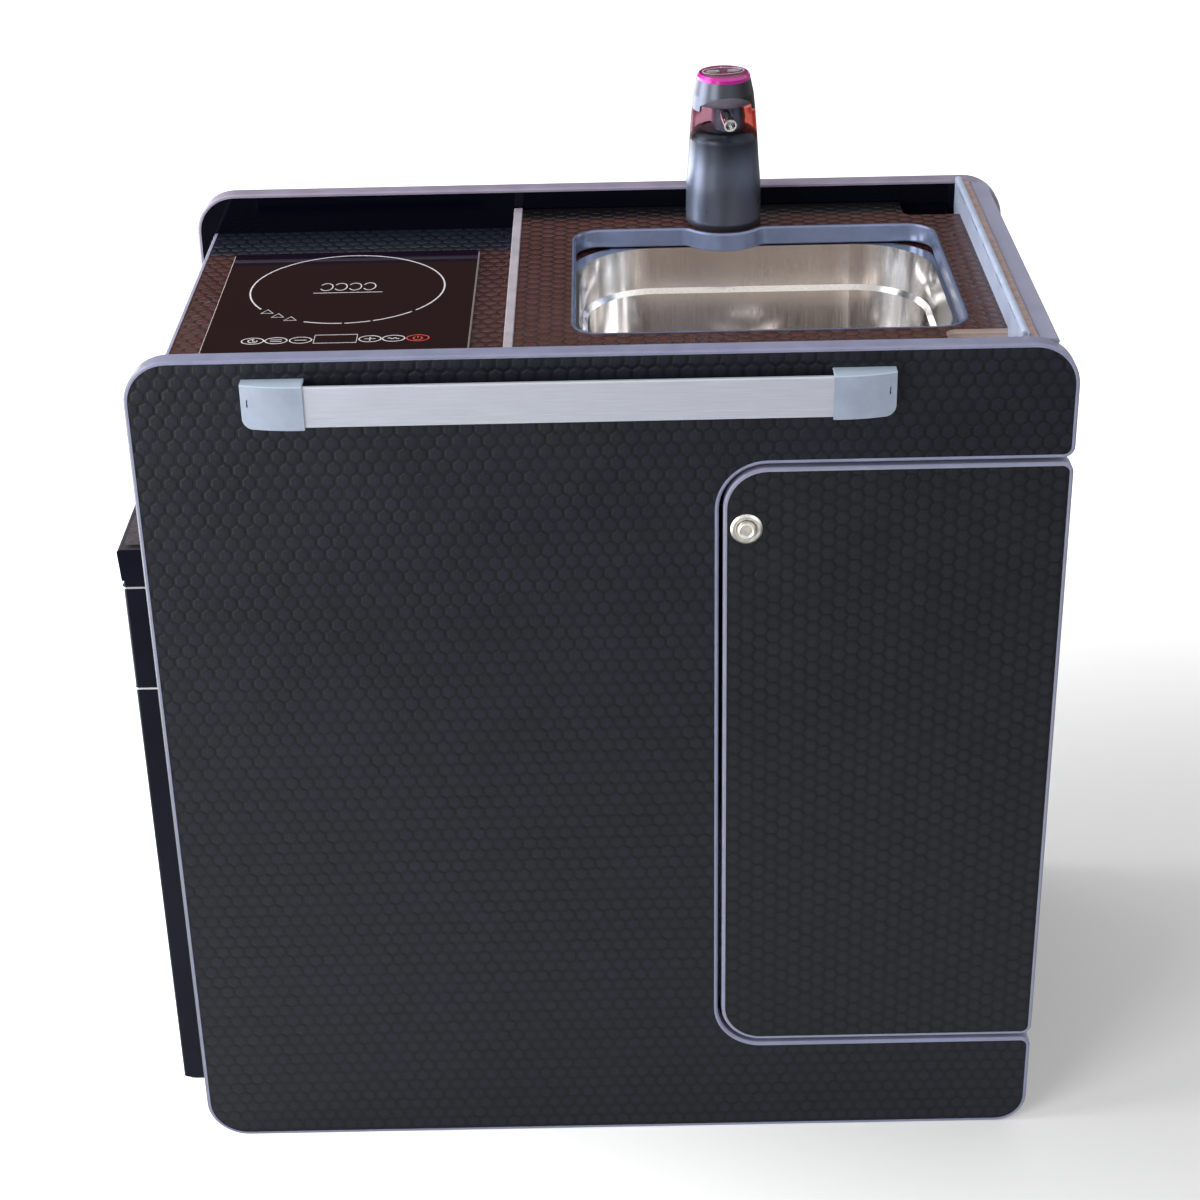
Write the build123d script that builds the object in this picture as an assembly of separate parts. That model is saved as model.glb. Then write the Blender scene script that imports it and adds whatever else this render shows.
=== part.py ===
from build123d import *
from math import atan2, degrees, sqrt
import os

# Campervan fridge pod, in millimetres. While it is drawn, X runs to the right from the middle of
# the front panel, Y runs back from the panel's front face and Z runs up from the floor. The last
# function moves the whole pod so that the middle of its footprint is the origin.

# Overall sizes of the pod
pod_width = 720.0
pod_height = 735.0
pod_depth = 410.0
board = 15.0
end_overhang = 15.0

# Corners and edge trim of the two big panels
corner_radius = 35.0
low_corner_radius = 27.0
trim_head = 3.0
trim_lip = 0.5
trim_nose = 1.3

# Cupboard door and the notch in the front panel that it closes
notch_from_divider = 32.5
notch_bottom = 91.0
notch_below_top = 94.0
notch_radius = 38.0
door_gap = 3.5
outer_corner_radius = 9.0
door_rest_gap = 1.5

# Boards inside
base_height = 20.0
fascia_over_fridge = 14.0
divider_from_drain = 28.5
divider_under_pan = 5.0
batten = 20.0
side_step_down = 2.5

# Bolt holes in the base board for fixing the pod to a van's floor
floor_bolt_inset_x = 60.0
floor_bolt_inset_y = 65.0
floor_bolt_radius = 4.25

# Worktop and the lifting lid over its right-hand part
deck_drop = 36.0
lid_drop = 18.5
lid_from_hob = 30.0
lid_side_gap = 2.0
lid_notch_length = 49.0
lid_notch_front = 62.0
lid_notch_rear = 37.0
lid_notch_radius = 8.0
lid_rest_gap = 0.3
bumper_radius = 6.0
capping_wall = 1.4
capping_flange = 7.6

# Long hinge along the lid's right edge
lid_axis_over_panels = 1.2
packer_width = 6.9
lid_knuckle_radius = 2.8
lid_pin_radius = 1.3
lid_knuckles = 11
leaf_wall = 1.2
leaf_corner = 13.0
pin_clearance = 0.05
knuckle_gap = 0.3

# Sink cut-out in the lid and the steel pan below it
cutout_from_left = 51.0
cutout_from_right = 27.0
cutout_from_front = 67.0
cutout_from_rear = 60.0
cutout_radius = 26.0
tap_ledge = 3.5
tap_ledge_fillet = 14.0
pan_end_ledge = 6.0
pan_side_ledge = 4.0
pan_radius = 66.0
pan_rim = 12.0
pan_wall = 1.2
pan_depth = 100.0
pan_shoulder_depth = 36.0
pan_shoulder_step = 4.0
pan_draft = 2.0
pan_floor_radius = 20.0
pan_hole_gap = 1.8
drain_radius = 20.0
drain_flange_radius = 34.0
drain_flange_thick = 2.4
drain_neck = 26.0
drain_cone = 12.0
drain_spigot_radius = 10.0
drain_spigot_length = 26.0
drain_wall = 2.0
drain_slot = 5.0

# Induction hob
hob_from_left = 28.0
hob_from_front = 53.0
hob_width = 213.0
hob_length = 260.0
hob_glass = 4.0
hob_glass_radius = 5.0
hob_case_inset = 14.0
hob_case_height = 58.0
hob_cutout_gap = 3.0
hob_vent_slots = 9
hob_vent_pitch = 14.0
hob_vent_width = 5.0

# Tap, which stands on the lid behind the sink
tap_from_sink_middle = 24.5
tap_from_rear = 41.0
tap_base_radius = 32.5
tap_base_height = 36.0
tap_sleeve_wall = 1.2
tap_sleeve_radius = 31.4
tap_sleeve_height = 66.5
tap_sleeve_swell = 0.5
tap_body_gap = 0.6
tap_turn = 8.0
tap_dome_below_cap = 18.0
tap_dome_radius = 12.5
tap_neck_radius = 14.5
tap_neck_offset = 4.0
tap_neck_height = 21.0
tap_cap_radius = 27.2
tap_cap_height = 24.5
tap_cap_wall = 1.4
tap_cap_roof = 7.0
tap_cap_arch = 13.5
tap_arch_radius = 34.0
tap_ring_radius = 22.9
tap_ring_height = 5.0
tap_touch_radius = 20.0
tap_spout_radius = 5.5
tap_spout_wall = 1.4
tap_spout_tip = 32.0
tap_spout_root = 12.0
tap_spout_below_cap = 2.0
tap_spout_tilt = 12.0
tap_stud_radius = 6.0
tap_stud_length = 25.0
tap_barb_radius = 4.0
tap_barb_length = 18.0
tap_stud_hole = 16.0
tap_button_offset = 9.2
tap_button_length = 14.0
tap_button_width = 9.0
tap_button_travel = 0.8
tap_button_gap = 0.3

# Table rail on the front panel
rail_from_left = 90.0
rail_from_right = 139.0
rail_below_top = 51.0
rail_height = 35.0
rail_proud = 16.0
rail_wall = 2.4
rail_groove_height = 8.75
rail_groove = 0.4
rail_lip = 1.4
rail_cap_length = 47.5
rail_cap_wrap = 1.6
rail_cap_middle = 16.4
rail_cap_end = 11.0
rail_cap_corner = 8.0
rail_cap_slot_inset = 5.0
rail_cap_slot_height = 6.0

# Push lock of the cupboard door
lock_inset = 18.0
lock_below_top = 51.0
lock_rosette_radius = 12.5
lock_rosette_thick = 2.4
lock_button_radius = 7.5
lock_button_proud = 3.0
lock_button_travel = 2.5
lock_bolt_travel = 9.0
lock_case_width = 42.0
lock_case_height = 40.0
lock_case_depth = 18.0
lock_bolt_height = 12.0
lock_bolt_thick = 7.0

# Butt hinges of the cupboard door
door_knuckle_radius = 3.0
door_pin_radius = 1.5
door_hinge_length = 80.0
door_hinge_knuckles = 5
door_hinge_inset = 60.0
door_leaf_width = 24.0
door_hinge_screws = 3
door_hinge_room = 0.6
screw_radius = 3.2
screw_head = 1.2

# Fridge cabinet
fridge_from_left = 2.0
fridge_from_divider = 8.0
fridge_side_gap = 11.0
fridge_foot_height = 6.0
fridge_under_pan = 31.0
fridge_wall = 30.0
fridge_liner_wall = 2.0
compressor_bay_depth = 108.0
compressor_bay_height = 164.0
compressor_radius = 40.0
compressor_height = 118.0
shelf_ledge = 9.0
shelf_below_top = 223.0
shelf_rod = 3.0
shelf_rods = 11
evaporator_drop = 84.0
evaporator_sheet = 1.5
thermostat_depth = 28.0
thermostat_length = 67.0
thermostat_from_front = 68.0
thermostat_height = 42.0
thermostat_under_ice = 8.0
knob_radius = 12.0

# Fridge door
fridge_door_thick = 36.5
fridge_door_lift = 1.2
fridge_door_slant = 2.3
fridge_door_slant_depth = 11.0
fridge_door_gap = 4.0
fridge_door_inset = 1.5
fridge_door_edge = 3.0
fridge_handle_height = 27.5
fridge_handle_flare = 2.0
fridge_grip_height = 5.0
fridge_grip_depth = 12.0
fridge_grip_end = 3.0
fridge_strip = 1.6
fridge_strip_below_top = 128.0
fridge_axis_from_face = 13.0
fridge_axis_from_edge = 12.0
fridge_pin_radius = 3.0
fridge_pin_length = 9.0
fridge_plate = 3.0
fridge_plate_width = 48.0
fridge_plate_edge = 8.0
fridge_plate_lap = 16.0
gasket_width = 12.0
gasket_gap = 0.4
rack_reach = 50.0
rack_height = 62.0
rack_wall = 2.0
rack_low = 18.0
rack_high = 190.0
rack_side = 6.0

# Water containers in the cupboard
container_side_gap = 16.5
container_height = 250.0
container_gap = 10.0
container_from_door = 28.0
container_from_rear = 22.0
container_corner = 22.0
container_top_radius = 12.0
container_cap_radius = 26.0
container_handle = 100.0
container_handle_height = 34.0
container_handle_slot = 20.0
container_handle_width = 22.0
container_neck_height = 9.0
container_cap_height = 19.0

# Places that several pieces share
panel_half = pod_width / 2
body_half = panel_half - end_overhang
side_inner = body_half - board
notch_top = pod_height - notch_below_top
inner_front = board
inner_rear = pod_depth - board
base_top = base_height + board
deck_top = pod_height - deck_drop
deck_bottom = deck_top - board
lid_top = pod_height - lid_drop
lid_bottom = lid_top - board
lid_front = inner_front + lid_side_gap
lid_rear = inner_rear - lid_side_gap
lid_axis_x = side_inner - trim_lip - packer_width - lid_knuckle_radius
lid_axis_z = pod_height + lid_axis_over_panels
lid_right = lid_axis_x - lid_knuckle_radius
lid_step_x = lid_right - lid_notch_length
lid_step_front = lid_front + lid_notch_front
lid_step_rear = lid_rear - lid_notch_rear
hob_centre_x = hob_from_left + hob_width / 2 - body_half
hob_centre_y = inner_front + hob_from_front + hob_length / 2
lid_left = hob_centre_x + hob_width / 2 + lid_from_hob
cutout_length = lid_right - lid_left - cutout_from_left - cutout_from_right
cutout_width = lid_rear - lid_front - cutout_from_front - cutout_from_rear
cutout_centre_x = lid_left + cutout_from_left + cutout_length / 2
cutout_centre_y = lid_front + cutout_from_front + cutout_width / 2
pan_length = cutout_length - 2 * pan_end_ledge
pan_width = cutout_width - 2 * pan_side_ledge
pan_underside = deck_top - pan_depth
divider_right = cutout_centre_x - drain_flange_radius - divider_from_drain
divider_left = divider_right - board
divider_top = pan_underside - divider_under_pan
notch_left = divider_left + notch_from_divider
door_left = notch_left + door_gap
door_bottom = notch_bottom + door_gap
door_top = notch_top - door_gap
door_radius = notch_radius - door_gap
lock_x = door_left + lock_inset
lock_z = door_top - lock_below_top
lock_case_left = door_left + trim_head + 0.5
door_axis_x = body_half + door_knuckle_radius + door_hinge_room
door_axis_y = board + door_knuckle_radius + door_hinge_room
fridge_front = fridge_from_left - body_half
fridge_back = divider_left - fridge_from_divider
fridge_y = (inner_front + fridge_side_gap, inner_rear - fridge_side_gap)
fridge_bottom = base_top + fridge_foot_height
fridge_top = pan_underside - fridge_under_pan
fascia_bottom = fridge_top + fascia_over_fridge
shelf_high = fridge_top - shelf_below_top
fridge_strip_height = fridge_top - fridge_strip_below_top
fridge_door_back = fridge_front - fridge_door_gap
fridge_door_face = fridge_door_back - fridge_door_thick
fridge_door_y = (fridge_y[0] + fridge_door_inset, fridge_y[1] - fridge_door_inset)
fridge_door_z = (fridge_bottom + fridge_door_lift, fridge_top - 2.5)
fridge_handle_bottom = fridge_door_z[1] - fridge_handle_height
fridge_axis_x = fridge_door_face + fridge_axis_from_face
fridge_axis_y = fridge_door_y[0] + fridge_axis_from_edge
rail_left = rail_from_left - panel_half
rail_right = panel_half - rail_from_right
rail_bottom = pod_height - rail_below_top
container_length = side_inner - divider_right - 2 * container_side_gap
container_room = inner_rear - inner_front - container_from_door - container_from_rear
container_width = (container_room - container_gap) / 2
tap_x = cutout_centre_x - tap_from_sink_middle
tap_y = lid_rear - tap_from_rear
sleeve_bottom = lid_top + tap_base_height
sleeve_top = sleeve_bottom + tap_sleeve_height
cap_top = sleeve_top + tap_cap_height
ring_top = cap_top + tap_ring_height
tap_top = ring_top + 1.0
origin_x = (fridge_door_face - fridge_handle_flare + panel_half) / 2
origin_y = (pod_depth + trim_lip - rail_proud - rail_cap_wrap) / 2


def block(x, y, z):
    middle = Pos((x[0] + x[1]) / 2, (y[0] + y[1]) / 2, (z[0] + z[1]) / 2)
    return middle * Box(x[1] - x[0], y[1] - y[0], z[1] - z[0])


def shape_of(corners):
    """A flat shape from (across, up, radius) corners."""
    shape = make_face(Polyline(*[(a, b) for a, b, r in corners], close=True))
    for a, b, r in corners:
        if r > 0:
            shape = fillet(shape.vertices().sort_by_distance((a, b, 0))[0], r)
    return shape


def along_y(shape, front, rear):
    return extrude(Plane.XZ.offset(-rear) * shape, rear - front)


def along_x(shape, left, right):
    return extrude(Plane.YZ.offset(left) * shape, right - left)


def flat(shape, low, high):
    return extrude(Pos(0, 0, low) * shape, high - low)


def turned(points, x, y):
    """A round piece from (radius, height) or (radius, height, corner radius) points, standing at x, y."""
    profile = shape_of([point if len(point) == 3 else (*point, 0) for point in points])
    return Pos(x, y, 0) * revolve(Plane.XZ * profile, Axis.Z)


def edge_trim(outline, front, rear, inward):
    """Trim with bevelled edges round a board's edge, or inside a hole where inward is true."""
    board_face = offset(outline, amount=trim_head if inward else -trim_head)
    ring = board_face - outline if inward else outline - board_face
    trim = extrude(ring, rear - front)
    ends = (trim.faces().sort_by(Axis.Z)[0], trim.faces().sort_by(Axis.Z)[-1])
    nose = []
    for end in ends:
        wires = end.inner_wires() if inward else [end.outer_wire()]
        for wire in wires:
            nose += wire.edges()
    return chamfer(nose, trim_nose)


def stand(solid, rear):
    """Turn a piece drawn flat so that it stands up, with its top face at the rear."""
    return Pos(0, rear, 0) * (Rot(90, 0, 0) * solid)


def panel_outline():
    half = panel_half
    return shape_of([
        (-half, 0, corner_radius), (half, 0, low_corner_radius),
        (half, pod_height, corner_radius), (-half, pod_height, corner_radius)])


def front_outline():
    half = panel_half
    return shape_of([
        (-half, 0, corner_radius), (half, 0, low_corner_radius),
        (half, notch_bottom, outer_corner_radius), (notch_left, notch_bottom, notch_radius),
        (notch_left, notch_top, notch_radius), (half, notch_top, outer_corner_radius),
        (half, pod_height, corner_radius), (-half, pod_height, corner_radius)])


def door_outline():
    return shape_of([
        (door_left, door_bottom, door_radius), (panel_half, door_bottom, outer_corner_radius),
        (panel_half, door_top, outer_corner_radius), (door_left, door_top, door_radius)])


def trimmed_board(outline, front):
    """An upright board and the trim round its edge."""
    rear = front + board
    core = along_y(offset(outline, amount=-trim_head), front, rear)
    trim = stand(edge_trim(outline, front - trim_lip, rear + trim_lip, False), rear + trim_lip)
    return core, trim


def hinge_half(plate, length, count, mine, knuckle_radius, pin_radius):
    """One leaf of a hinge along Z: its plate, its own knuckles, and room for the other's."""
    pitch = length / count
    half = plate
    for i in range(count):
        middle = Pos(0, 0, (i + 0.5) * pitch)
        if i % 2 != mine:
            half -= middle * Cylinder(knuckle_radius + knuckle_gap, pitch + knuckle_gap)
    for i in range(count):
        middle = Pos(0, 0, (i + 0.5) * pitch)
        if i % 2 == mine:
            half += middle * Cylinder(knuckle_radius, pitch - knuckle_gap)
    return half - Pos(0, 0, length / 2) * Cylinder(pin_radius + pin_clearance, length + 2)


def build_panels():
    front_panel, front_trim = trimmed_board(front_outline(), 0)
    rear_panel, rear_trim = trimmed_board(panel_outline(), inner_rear)
    return {
        "front_panel": front_panel, "front_panel_trim": front_trim,
        "rear_panel": rear_panel, "rear_panel_trim": rear_trim}


def build_carcass():
    depth = (inner_front, inner_rear)
    side_top = pod_height - side_step_down
    side = block((side_inner, body_half), depth, (base_top, side_top - trim_head))
    side -= block(
        (side_inner - 1, body_half + 1), (0, inner_front + door_rest_gap),
        (notch_bottom - trim_head, notch_top + trim_head))
    for y in (inner_front, inner_rear):
        side -= block((side_inner - 1, body_half + 1), (y - trim_lip, y + trim_lip),
                      (pod_height - corner_radius, pod_height))
    side_trim = shape_of([
        (side_inner - trim_lip, side_top - trim_head, 0), (body_half + trim_lip, side_top - trim_head, 0),
        (body_half + trim_lip, side_top, 2 * trim_nose), (side_inner - trim_lip, side_top, 2 * trim_nose)])
    deck_rail_z = (deck_bottom - batten, deck_bottom)
    base_rail_z = (trim_head + 1, base_height)
    across = (-body_half + board, side_inner)
    battens = []
    for rail_z in (deck_rail_z, base_rail_z):
        battens.append(block(across, (inner_front, inner_front + batten), rail_z))
        battens.append(block(across, (inner_rear - batten, inner_rear), rail_z))
    base = block((-body_half, body_half), depth, (base_height, base_top))
    for x in (floor_bolt_inset_x - panel_half, panel_half - floor_bolt_inset_x):
        for y in (floor_bolt_inset_y, pod_depth - floor_bolt_inset_y):
            base -= Pos(x, y, base_height + board / 2) * Cylinder(floor_bolt_radius, 2 * board)
    fascia_z = (fascia_bottom, deck_bottom - trim_lip)
    return {
        "right_side_board": side,
        "board_edge_trims": [along_y(side_trim, inner_front + trim_lip, inner_rear - trim_lip)],
        "left_fascia_board": block((-body_half, -body_half + board), depth, fascia_z),
        "divider_wall": block((divider_left, divider_right), depth, (base_top, divider_top)),
        "base_board": base,
        "battens": battens}


def pan_hole_shape(grow):
    return Pos(cutout_centre_x, cutout_centre_y) * RectangleRounded(
        pan_length + 2 * grow, pan_width + 2 * grow, pan_radius + grow)


def hob_rectangle(shrink, radius):
    return Pos(hob_centre_x, hob_centre_y) * RectangleRounded(
        hob_width - 2 * shrink, hob_length - 2 * shrink, radius)


def build_worktop():
    worktop = block((-body_half + trim_head, side_inner), (inner_front, inner_rear), (deck_bottom, deck_top))
    worktop -= flat(pan_hole_shape(pan_wall + pan_hole_gap), deck_bottom - 1, deck_top + 1)
    worktop -= flat(hob_rectangle(hob_case_inset - hob_cutout_gap, 6), deck_bottom - 1, deck_top + 1)
    worktop -= Pos(tap_x, tap_y, deck_top) * Cylinder(tap_stud_hole, 3 * board)
    worktop -= block(
        (lid_step_x, side_inner - board), (lid_step_rear, inner_rear + 1), (deck_bottom - 1, deck_top + 1))
    edge = shape_of([
        (-body_half, deck_bottom - trim_lip, trim_nose), (-body_half + trim_head, deck_bottom - trim_lip, 0),
        (-body_half + trim_head, deck_top + trim_lip, 0), (-body_half, deck_top + trim_lip, trim_nose)])
    bumper_height = lid_bottom - lid_rest_gap - deck_top
    bumpers = []
    for x in (lid_left + 2 * bumper_radius, lid_step_x - 3 * bumper_radius):
        for y in (lid_front + 2 * bumper_radius, lid_rear - 2 * bumper_radius):
            bumper = Pos(x, y, deck_top + bumper_height / 2) * Cylinder(bumper_radius, bumper_height)
            bumpers.append(bumper)
    packer = block((lid_axis_x + lid_knuckle_radius, side_inner - trim_lip),
                   (inner_front + trim_lip, inner_rear - trim_lip), (deck_top, pod_height - side_step_down + 1))
    return {
        "worktop_board": worktop,
        "board_edge_trims": [along_y(edge, inner_front, inner_rear)],
        "lid_bumpers": bumpers,
        "hinge_packer": packer}


def build_hob():
    glass = flat(hob_rectangle(0, hob_glass_radius), deck_top, deck_top + hob_glass)
    glass = chamfer(glass.faces().sort_by(Axis.Z)[-1].edges(), 1)
    low = deck_top - hob_case_height
    case = flat(hob_rectangle(hob_case_inset, 4), low, deck_top)
    for i in range(hob_vent_slots):
        y = hob_centre_y + (i - (hob_vent_slots - 1) / 2) * hob_vent_pitch
        case -= Pos(hob_centre_x, y, low) * Box(hob_width / 2, hob_vent_width, 6)
    fan_well = Pos(hob_centre_x, hob_centre_y + hob_length / 2 - 3 * hob_case_inset, low)
    case -= fan_well * (Cylinder(22, 8) - Cylinder(9, 8))
    return {"hob_glass": glass, "hob_case": case}


def tapered(shape, top, height, draw_in):
    """A wall that runs down from the shape and is drawn in evenly on the way."""
    angle = degrees(atan2(draw_in, height))
    return extrude(Pos(0, 0, top) * shape, height, dir=(0, 0, -1), taper=angle)


def pan_bowl(grow):
    """The bowl's form, grown all round by the sheet's thickness where it is the outer one."""
    rim = deck_top + pan_wall
    shoulder = rim - pan_shoulder_depth
    step = pan_draft + pan_shoulder_step
    low = shoulder - pan_shoulder_step
    floor = rim - pan_depth - grow
    upper = tapered(pan_hole_shape(grow), rim, pan_shoulder_depth, pan_draft)
    ledge = tapered(pan_hole_shape(grow - pan_draft), shoulder, pan_shoulder_step, pan_shoulder_step)
    lower = tapered(pan_hole_shape(grow - step), low, low - floor, pan_draft)
    lower = fillet(lower.faces().sort_by(Axis.Z)[0].edges(), pan_floor_radius + grow)
    return upper + ledge + lower


def build_sink():
    rim = deck_top + pan_wall
    floor = rim - pan_depth
    flange = flat(pan_hole_shape(pan_rim), deck_top, rim)
    pan = (flange + pan_bowl(pan_wall)) - pan_bowl(0)
    pan -= Pos(cutout_centre_x, cutout_centre_y, floor) * Cylinder(drain_radius + 0.5, pan_floor_radius)
    neck = floor - drain_neck
    cone = neck - drain_cone
    tip = cone - drain_spigot_length
    flange_top = floor + drain_flange_thick
    bore = drain_spigot_radius - drain_wall
    drain = turned([
        (0, floor), (drain_radius - 3, floor), (drain_radius - 1, flange_top),
        (drain_flange_radius, flange_top), (drain_flange_radius, floor), (drain_radius, floor),
        (drain_radius, neck), (drain_spigot_radius, cone), (drain_spigot_radius, tip),
        (bore, tip), (bore, cone), (0, cone)],
        cutout_centre_x, cutout_centre_y)
    for i in range(3):
        slot = Rot(0, 0, 60 * i) * Box(1.5 * drain_radius, drain_slot, 4 * drain_wall)
        drain -= Pos(cutout_centre_x, cutout_centre_y, floor - drain_wall / 2) * slot
    nut = turned([
        (drain_radius + 0.2, floor - pan_wall), (drain_flange_radius - 4, floor - pan_wall),
        (drain_flange_radius - 6, floor - pan_wall - 9), (drain_radius + 0.2, floor - pan_wall - 9)],
        cutout_centre_x, cutout_centre_y)
    return {"sink_pan": pan, "sink_drain": [drain, nut]}


def cutout_outline():
    """The sink cut-out with the rounded ledge that carries the front of the tap."""
    hole = Pos(cutout_centre_x, cutout_centre_y) * RectangleRounded(cutout_length, cutout_width, cutout_radius)
    hole -= Pos(tap_x, tap_y) * Circle(tap_base_radius + tap_ledge)
    rear = cutout_centre_y + cutout_width / 2
    reach = sqrt((tap_base_radius + tap_ledge) ** 2 - (tap_y - rear) ** 2)
    for side in (-1, 1):
        meeting = hole.vertices().sort_by_distance((tap_x + side * reach, rear, 0))[0]
        hole = fillet(meeting, tap_ledge_fillet)
    return hole


def build_lid():
    outline = shape_of([
        (lid_left, lid_front, 0), (lid_step_x, lid_front, 0),
        (lid_step_x, lid_step_front, lid_notch_radius), (lid_right, lid_step_front, 0),
        (lid_right, lid_step_rear, 0), (lid_step_x, lid_step_rear, lid_notch_radius),
        (lid_step_x, lid_rear, 0), (lid_left, lid_rear, 0)])
    opening = cutout_outline()
    lid = flat(outline - opening, lid_bottom, lid_top)
    lid -= Pos(tap_x, tap_y, lid_top) * Cylinder(tap_stud_radius + 0.5, 3 * board)
    inner = offset(opening, amount=-trim_head)
    trim = edge_trim(inner, lid_bottom - trim_lip, lid_top + trim_lip, True)
    left = lid_left - capping_wall
    top = lid_top + capping_wall
    capping = shape_of([
        (left, lid_bottom, 0), (lid_left, lid_bottom, 0), (lid_left, lid_top, 0),
        (left + capping_flange, lid_top, 0), (left + capping_flange, top, 0.8), (left, top, 1.2)])
    return {
        "lid_board": lid,
        "lid_cutout_trim": Pos(0, 0, lid_bottom - trim_lip) * trim,
        "lid_edge_capping": along_y(capping, lid_front, lid_rear)}


def build_lid_hinge():
    """The long hinge, drawn along Z with the lid's leaf on the -X side and then laid along Y."""
    length = lid_rear - lid_front
    radius = lid_knuckle_radius
    drop = lid_axis_z - lid_bottom
    moving_plate = shape_of([
        (0, 0, 0), (0, length, 0), (-drop, length, leaf_corner), (-drop, 0, leaf_corner)])
    moving_plate = Plane.YZ.offset(-radius) * moving_plate
    moving_plate = extrude(moving_plate, leaf_wall)
    fixed_plate = block((radius - leaf_wall, radius), (-drop + 4, 0), (0, length))
    lay = Pos(lid_axis_x, lid_rear, lid_axis_z) * Rot(90, 0, 0)
    size = (length, lid_knuckles)
    moving = hinge_half(moving_plate, *size, 0, radius, lid_pin_radius)
    fixed = hinge_half(fixed_plate, *size, 1, radius, lid_pin_radius)
    pin = Pos(0, 0, length / 2) * Cylinder(lid_pin_radius, length)
    return {
        "lid_hinge_moving_leaf": lay * moving,
        "lid_hinge_fixed_leaf": lay * fixed,
        "hinge_pins": [lay * pin]}


def tap_side(height, inset):
    """The radius of the clear sleeve at a height, drawn in by inset."""
    along = (height - sleeve_bottom) / tap_sleeve_height
    straight = tap_sleeve_radius + (tap_cap_radius - tap_sleeve_radius) * along
    return straight + 4 * tap_sleeve_swell * along * (1 - along) - inset


def tap_place():
    """The tap's own place on the lid, turned so that its outlet points a little to the right."""
    return Pos(tap_x, tap_y) * Rot(0, 0, tap_turn)


def tap_oval(grow):
    return SlotOverall(tap_button_length + 2 * grow, tap_button_width + 2 * grow)


def build_tap_base():
    shank = lid_top - tap_stud_length
    tip = shank - tap_barb_length
    return turned([
        (0, tip), (tap_barb_radius - 1, tip), (tap_barb_radius, tip + 3), (tap_barb_radius, shank),
        (tap_stud_radius, shank), (tap_stud_radius, lid_top), (tap_base_radius - 1, lid_top),
        (tap_base_radius, lid_top + 2), (tap_base_radius - 0.4, sleeve_bottom - 1),
        (tap_sleeve_radius, sleeve_bottom), (0, sleeve_bottom)], tap_x, tap_y)


def build_tap_middle():
    """The dark body with its dome and neck, the clear sleeve over it, and the chrome spout."""
    dome = sleeve_top - tap_dome_below_cap
    neck = dome + tap_neck_height
    gap = tap_sleeve_wall + tap_body_gap
    middle = (sleeve_bottom + sleeve_top) / 2
    body = turned([
        (0, sleeve_bottom), (tap_side(sleeve_bottom, gap), sleeve_bottom), (tap_side(middle, gap), middle),
        (tap_side(dome, gap + 0.5), dome, tap_dome_radius), (0, dome)], tap_x, tap_y)
    beside = Pos(tap_x + tap_neck_offset, tap_y)
    body += flat(beside * Circle(tap_neck_radius), dome - 4, neck)
    body += flat(beside * Circle(tap_neck_radius + 1), neck - 1, neck)
    lid = neck + tap_sleeve_wall
    inside = tap_cap_radius - 2 * tap_cap_wall
    sleeve = turned([
        (tap_side(sleeve_bottom, 0), sleeve_bottom), (tap_side(middle, 0), middle),
        (tap_side(sleeve_top, 0), sleeve_top), (inside, sleeve_top), (inside, lid), (0, lid), (0, neck),
        (inside - tap_sleeve_wall, neck), (inside - tap_sleeve_wall, sleeve_top - 2 * tap_sleeve_wall),
        (tap_side(middle, tap_sleeve_wall), middle),
        (tap_side(sleeve_bottom, tap_sleeve_wall), sleeve_bottom)], tap_x, tap_y)
    length = tap_spout_tip - tap_spout_root
    spout = tap_place() * Pos(0, 0, sleeve_top - tap_spout_below_cap) * Rot(90 + tap_spout_tilt, 0, 0)
    spout *= Pos(0, 0, tap_spout_root + length / 2)
    tube = Cylinder(tap_spout_radius, length)
    outlet = spout * (tube - Pos(0, 0, 2) * Cylinder(tap_spout_radius - tap_spout_wall, length))
    sleeve -= spout * Pos(0, 0, 5) * Cylinder(tap_spout_radius + 0.3, length)
    return body - spout * tube, sleeve, outlet


def build_tap_cap():
    """The hollow cap, whose lower edge rises in an arch at the front."""
    inside = tap_cap_radius - tap_cap_wall
    roof = cap_top - tap_cap_roof
    cap = turned([
        (0, roof), (inside - 2, roof), (inside, sleeve_top), (tap_cap_radius, sleeve_top),
        (tap_cap_radius - 1.4, sleeve_top + tap_cap_height / 2), (tap_ring_radius + 0.2, cap_top), (0, cap_top)],
        tap_x, tap_y)
    arch_z = sleeve_top + tap_cap_arch - tap_arch_radius
    arch = tap_place() * Pos(0, -tap_cap_radius, arch_z) * Rot(90, 0, 0)
    return cap - arch * Cylinder(tap_arch_radius, tap_cap_radius)


def build_tap():
    body, sleeve, outlet = build_tap_middle()
    ring = turned([
        (tap_touch_radius, cap_top), (tap_ring_radius, cap_top), (tap_ring_radius, ring_top - 2.2),
        (tap_ring_radius - 1.8, ring_top), (tap_touch_radius, ring_top)], tap_x, tap_y)
    touch = turned([
        (0, cap_top), (tap_touch_radius - 0.1, cap_top), (tap_touch_radius - 0.1, ring_top - 0.4),
        (tap_touch_radius - 3, ring_top + 0.4), (0, ring_top + 0.6)], tap_x, tap_y)
    buttons = {}
    for name, side in (("tap_button_left", -1), ("tap_button_right", 1)):
        place = tap_place() * Pos(side * tap_button_offset, 0)
        touch -= flat(place * tap_oval(tap_button_gap), cap_top + 1, tap_top + 5)
        button = flat(place * tap_oval(0), cap_top + 1 + tap_button_travel + 0.4, tap_top)
        buttons[name] = chamfer(button.faces().sort_by(Axis.Z)[-1].edges(), 0.3)
    pieces = {
        "tap_base": build_tap_base(), "tap_body": body, "tap_sleeve": sleeve, "tap_outlet": outlet,
        "tap_cap": build_tap_cap(), "tap_ring": ring, "tap_touch_plate": touch}
    pieces.update(buttons)
    return pieces


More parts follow.
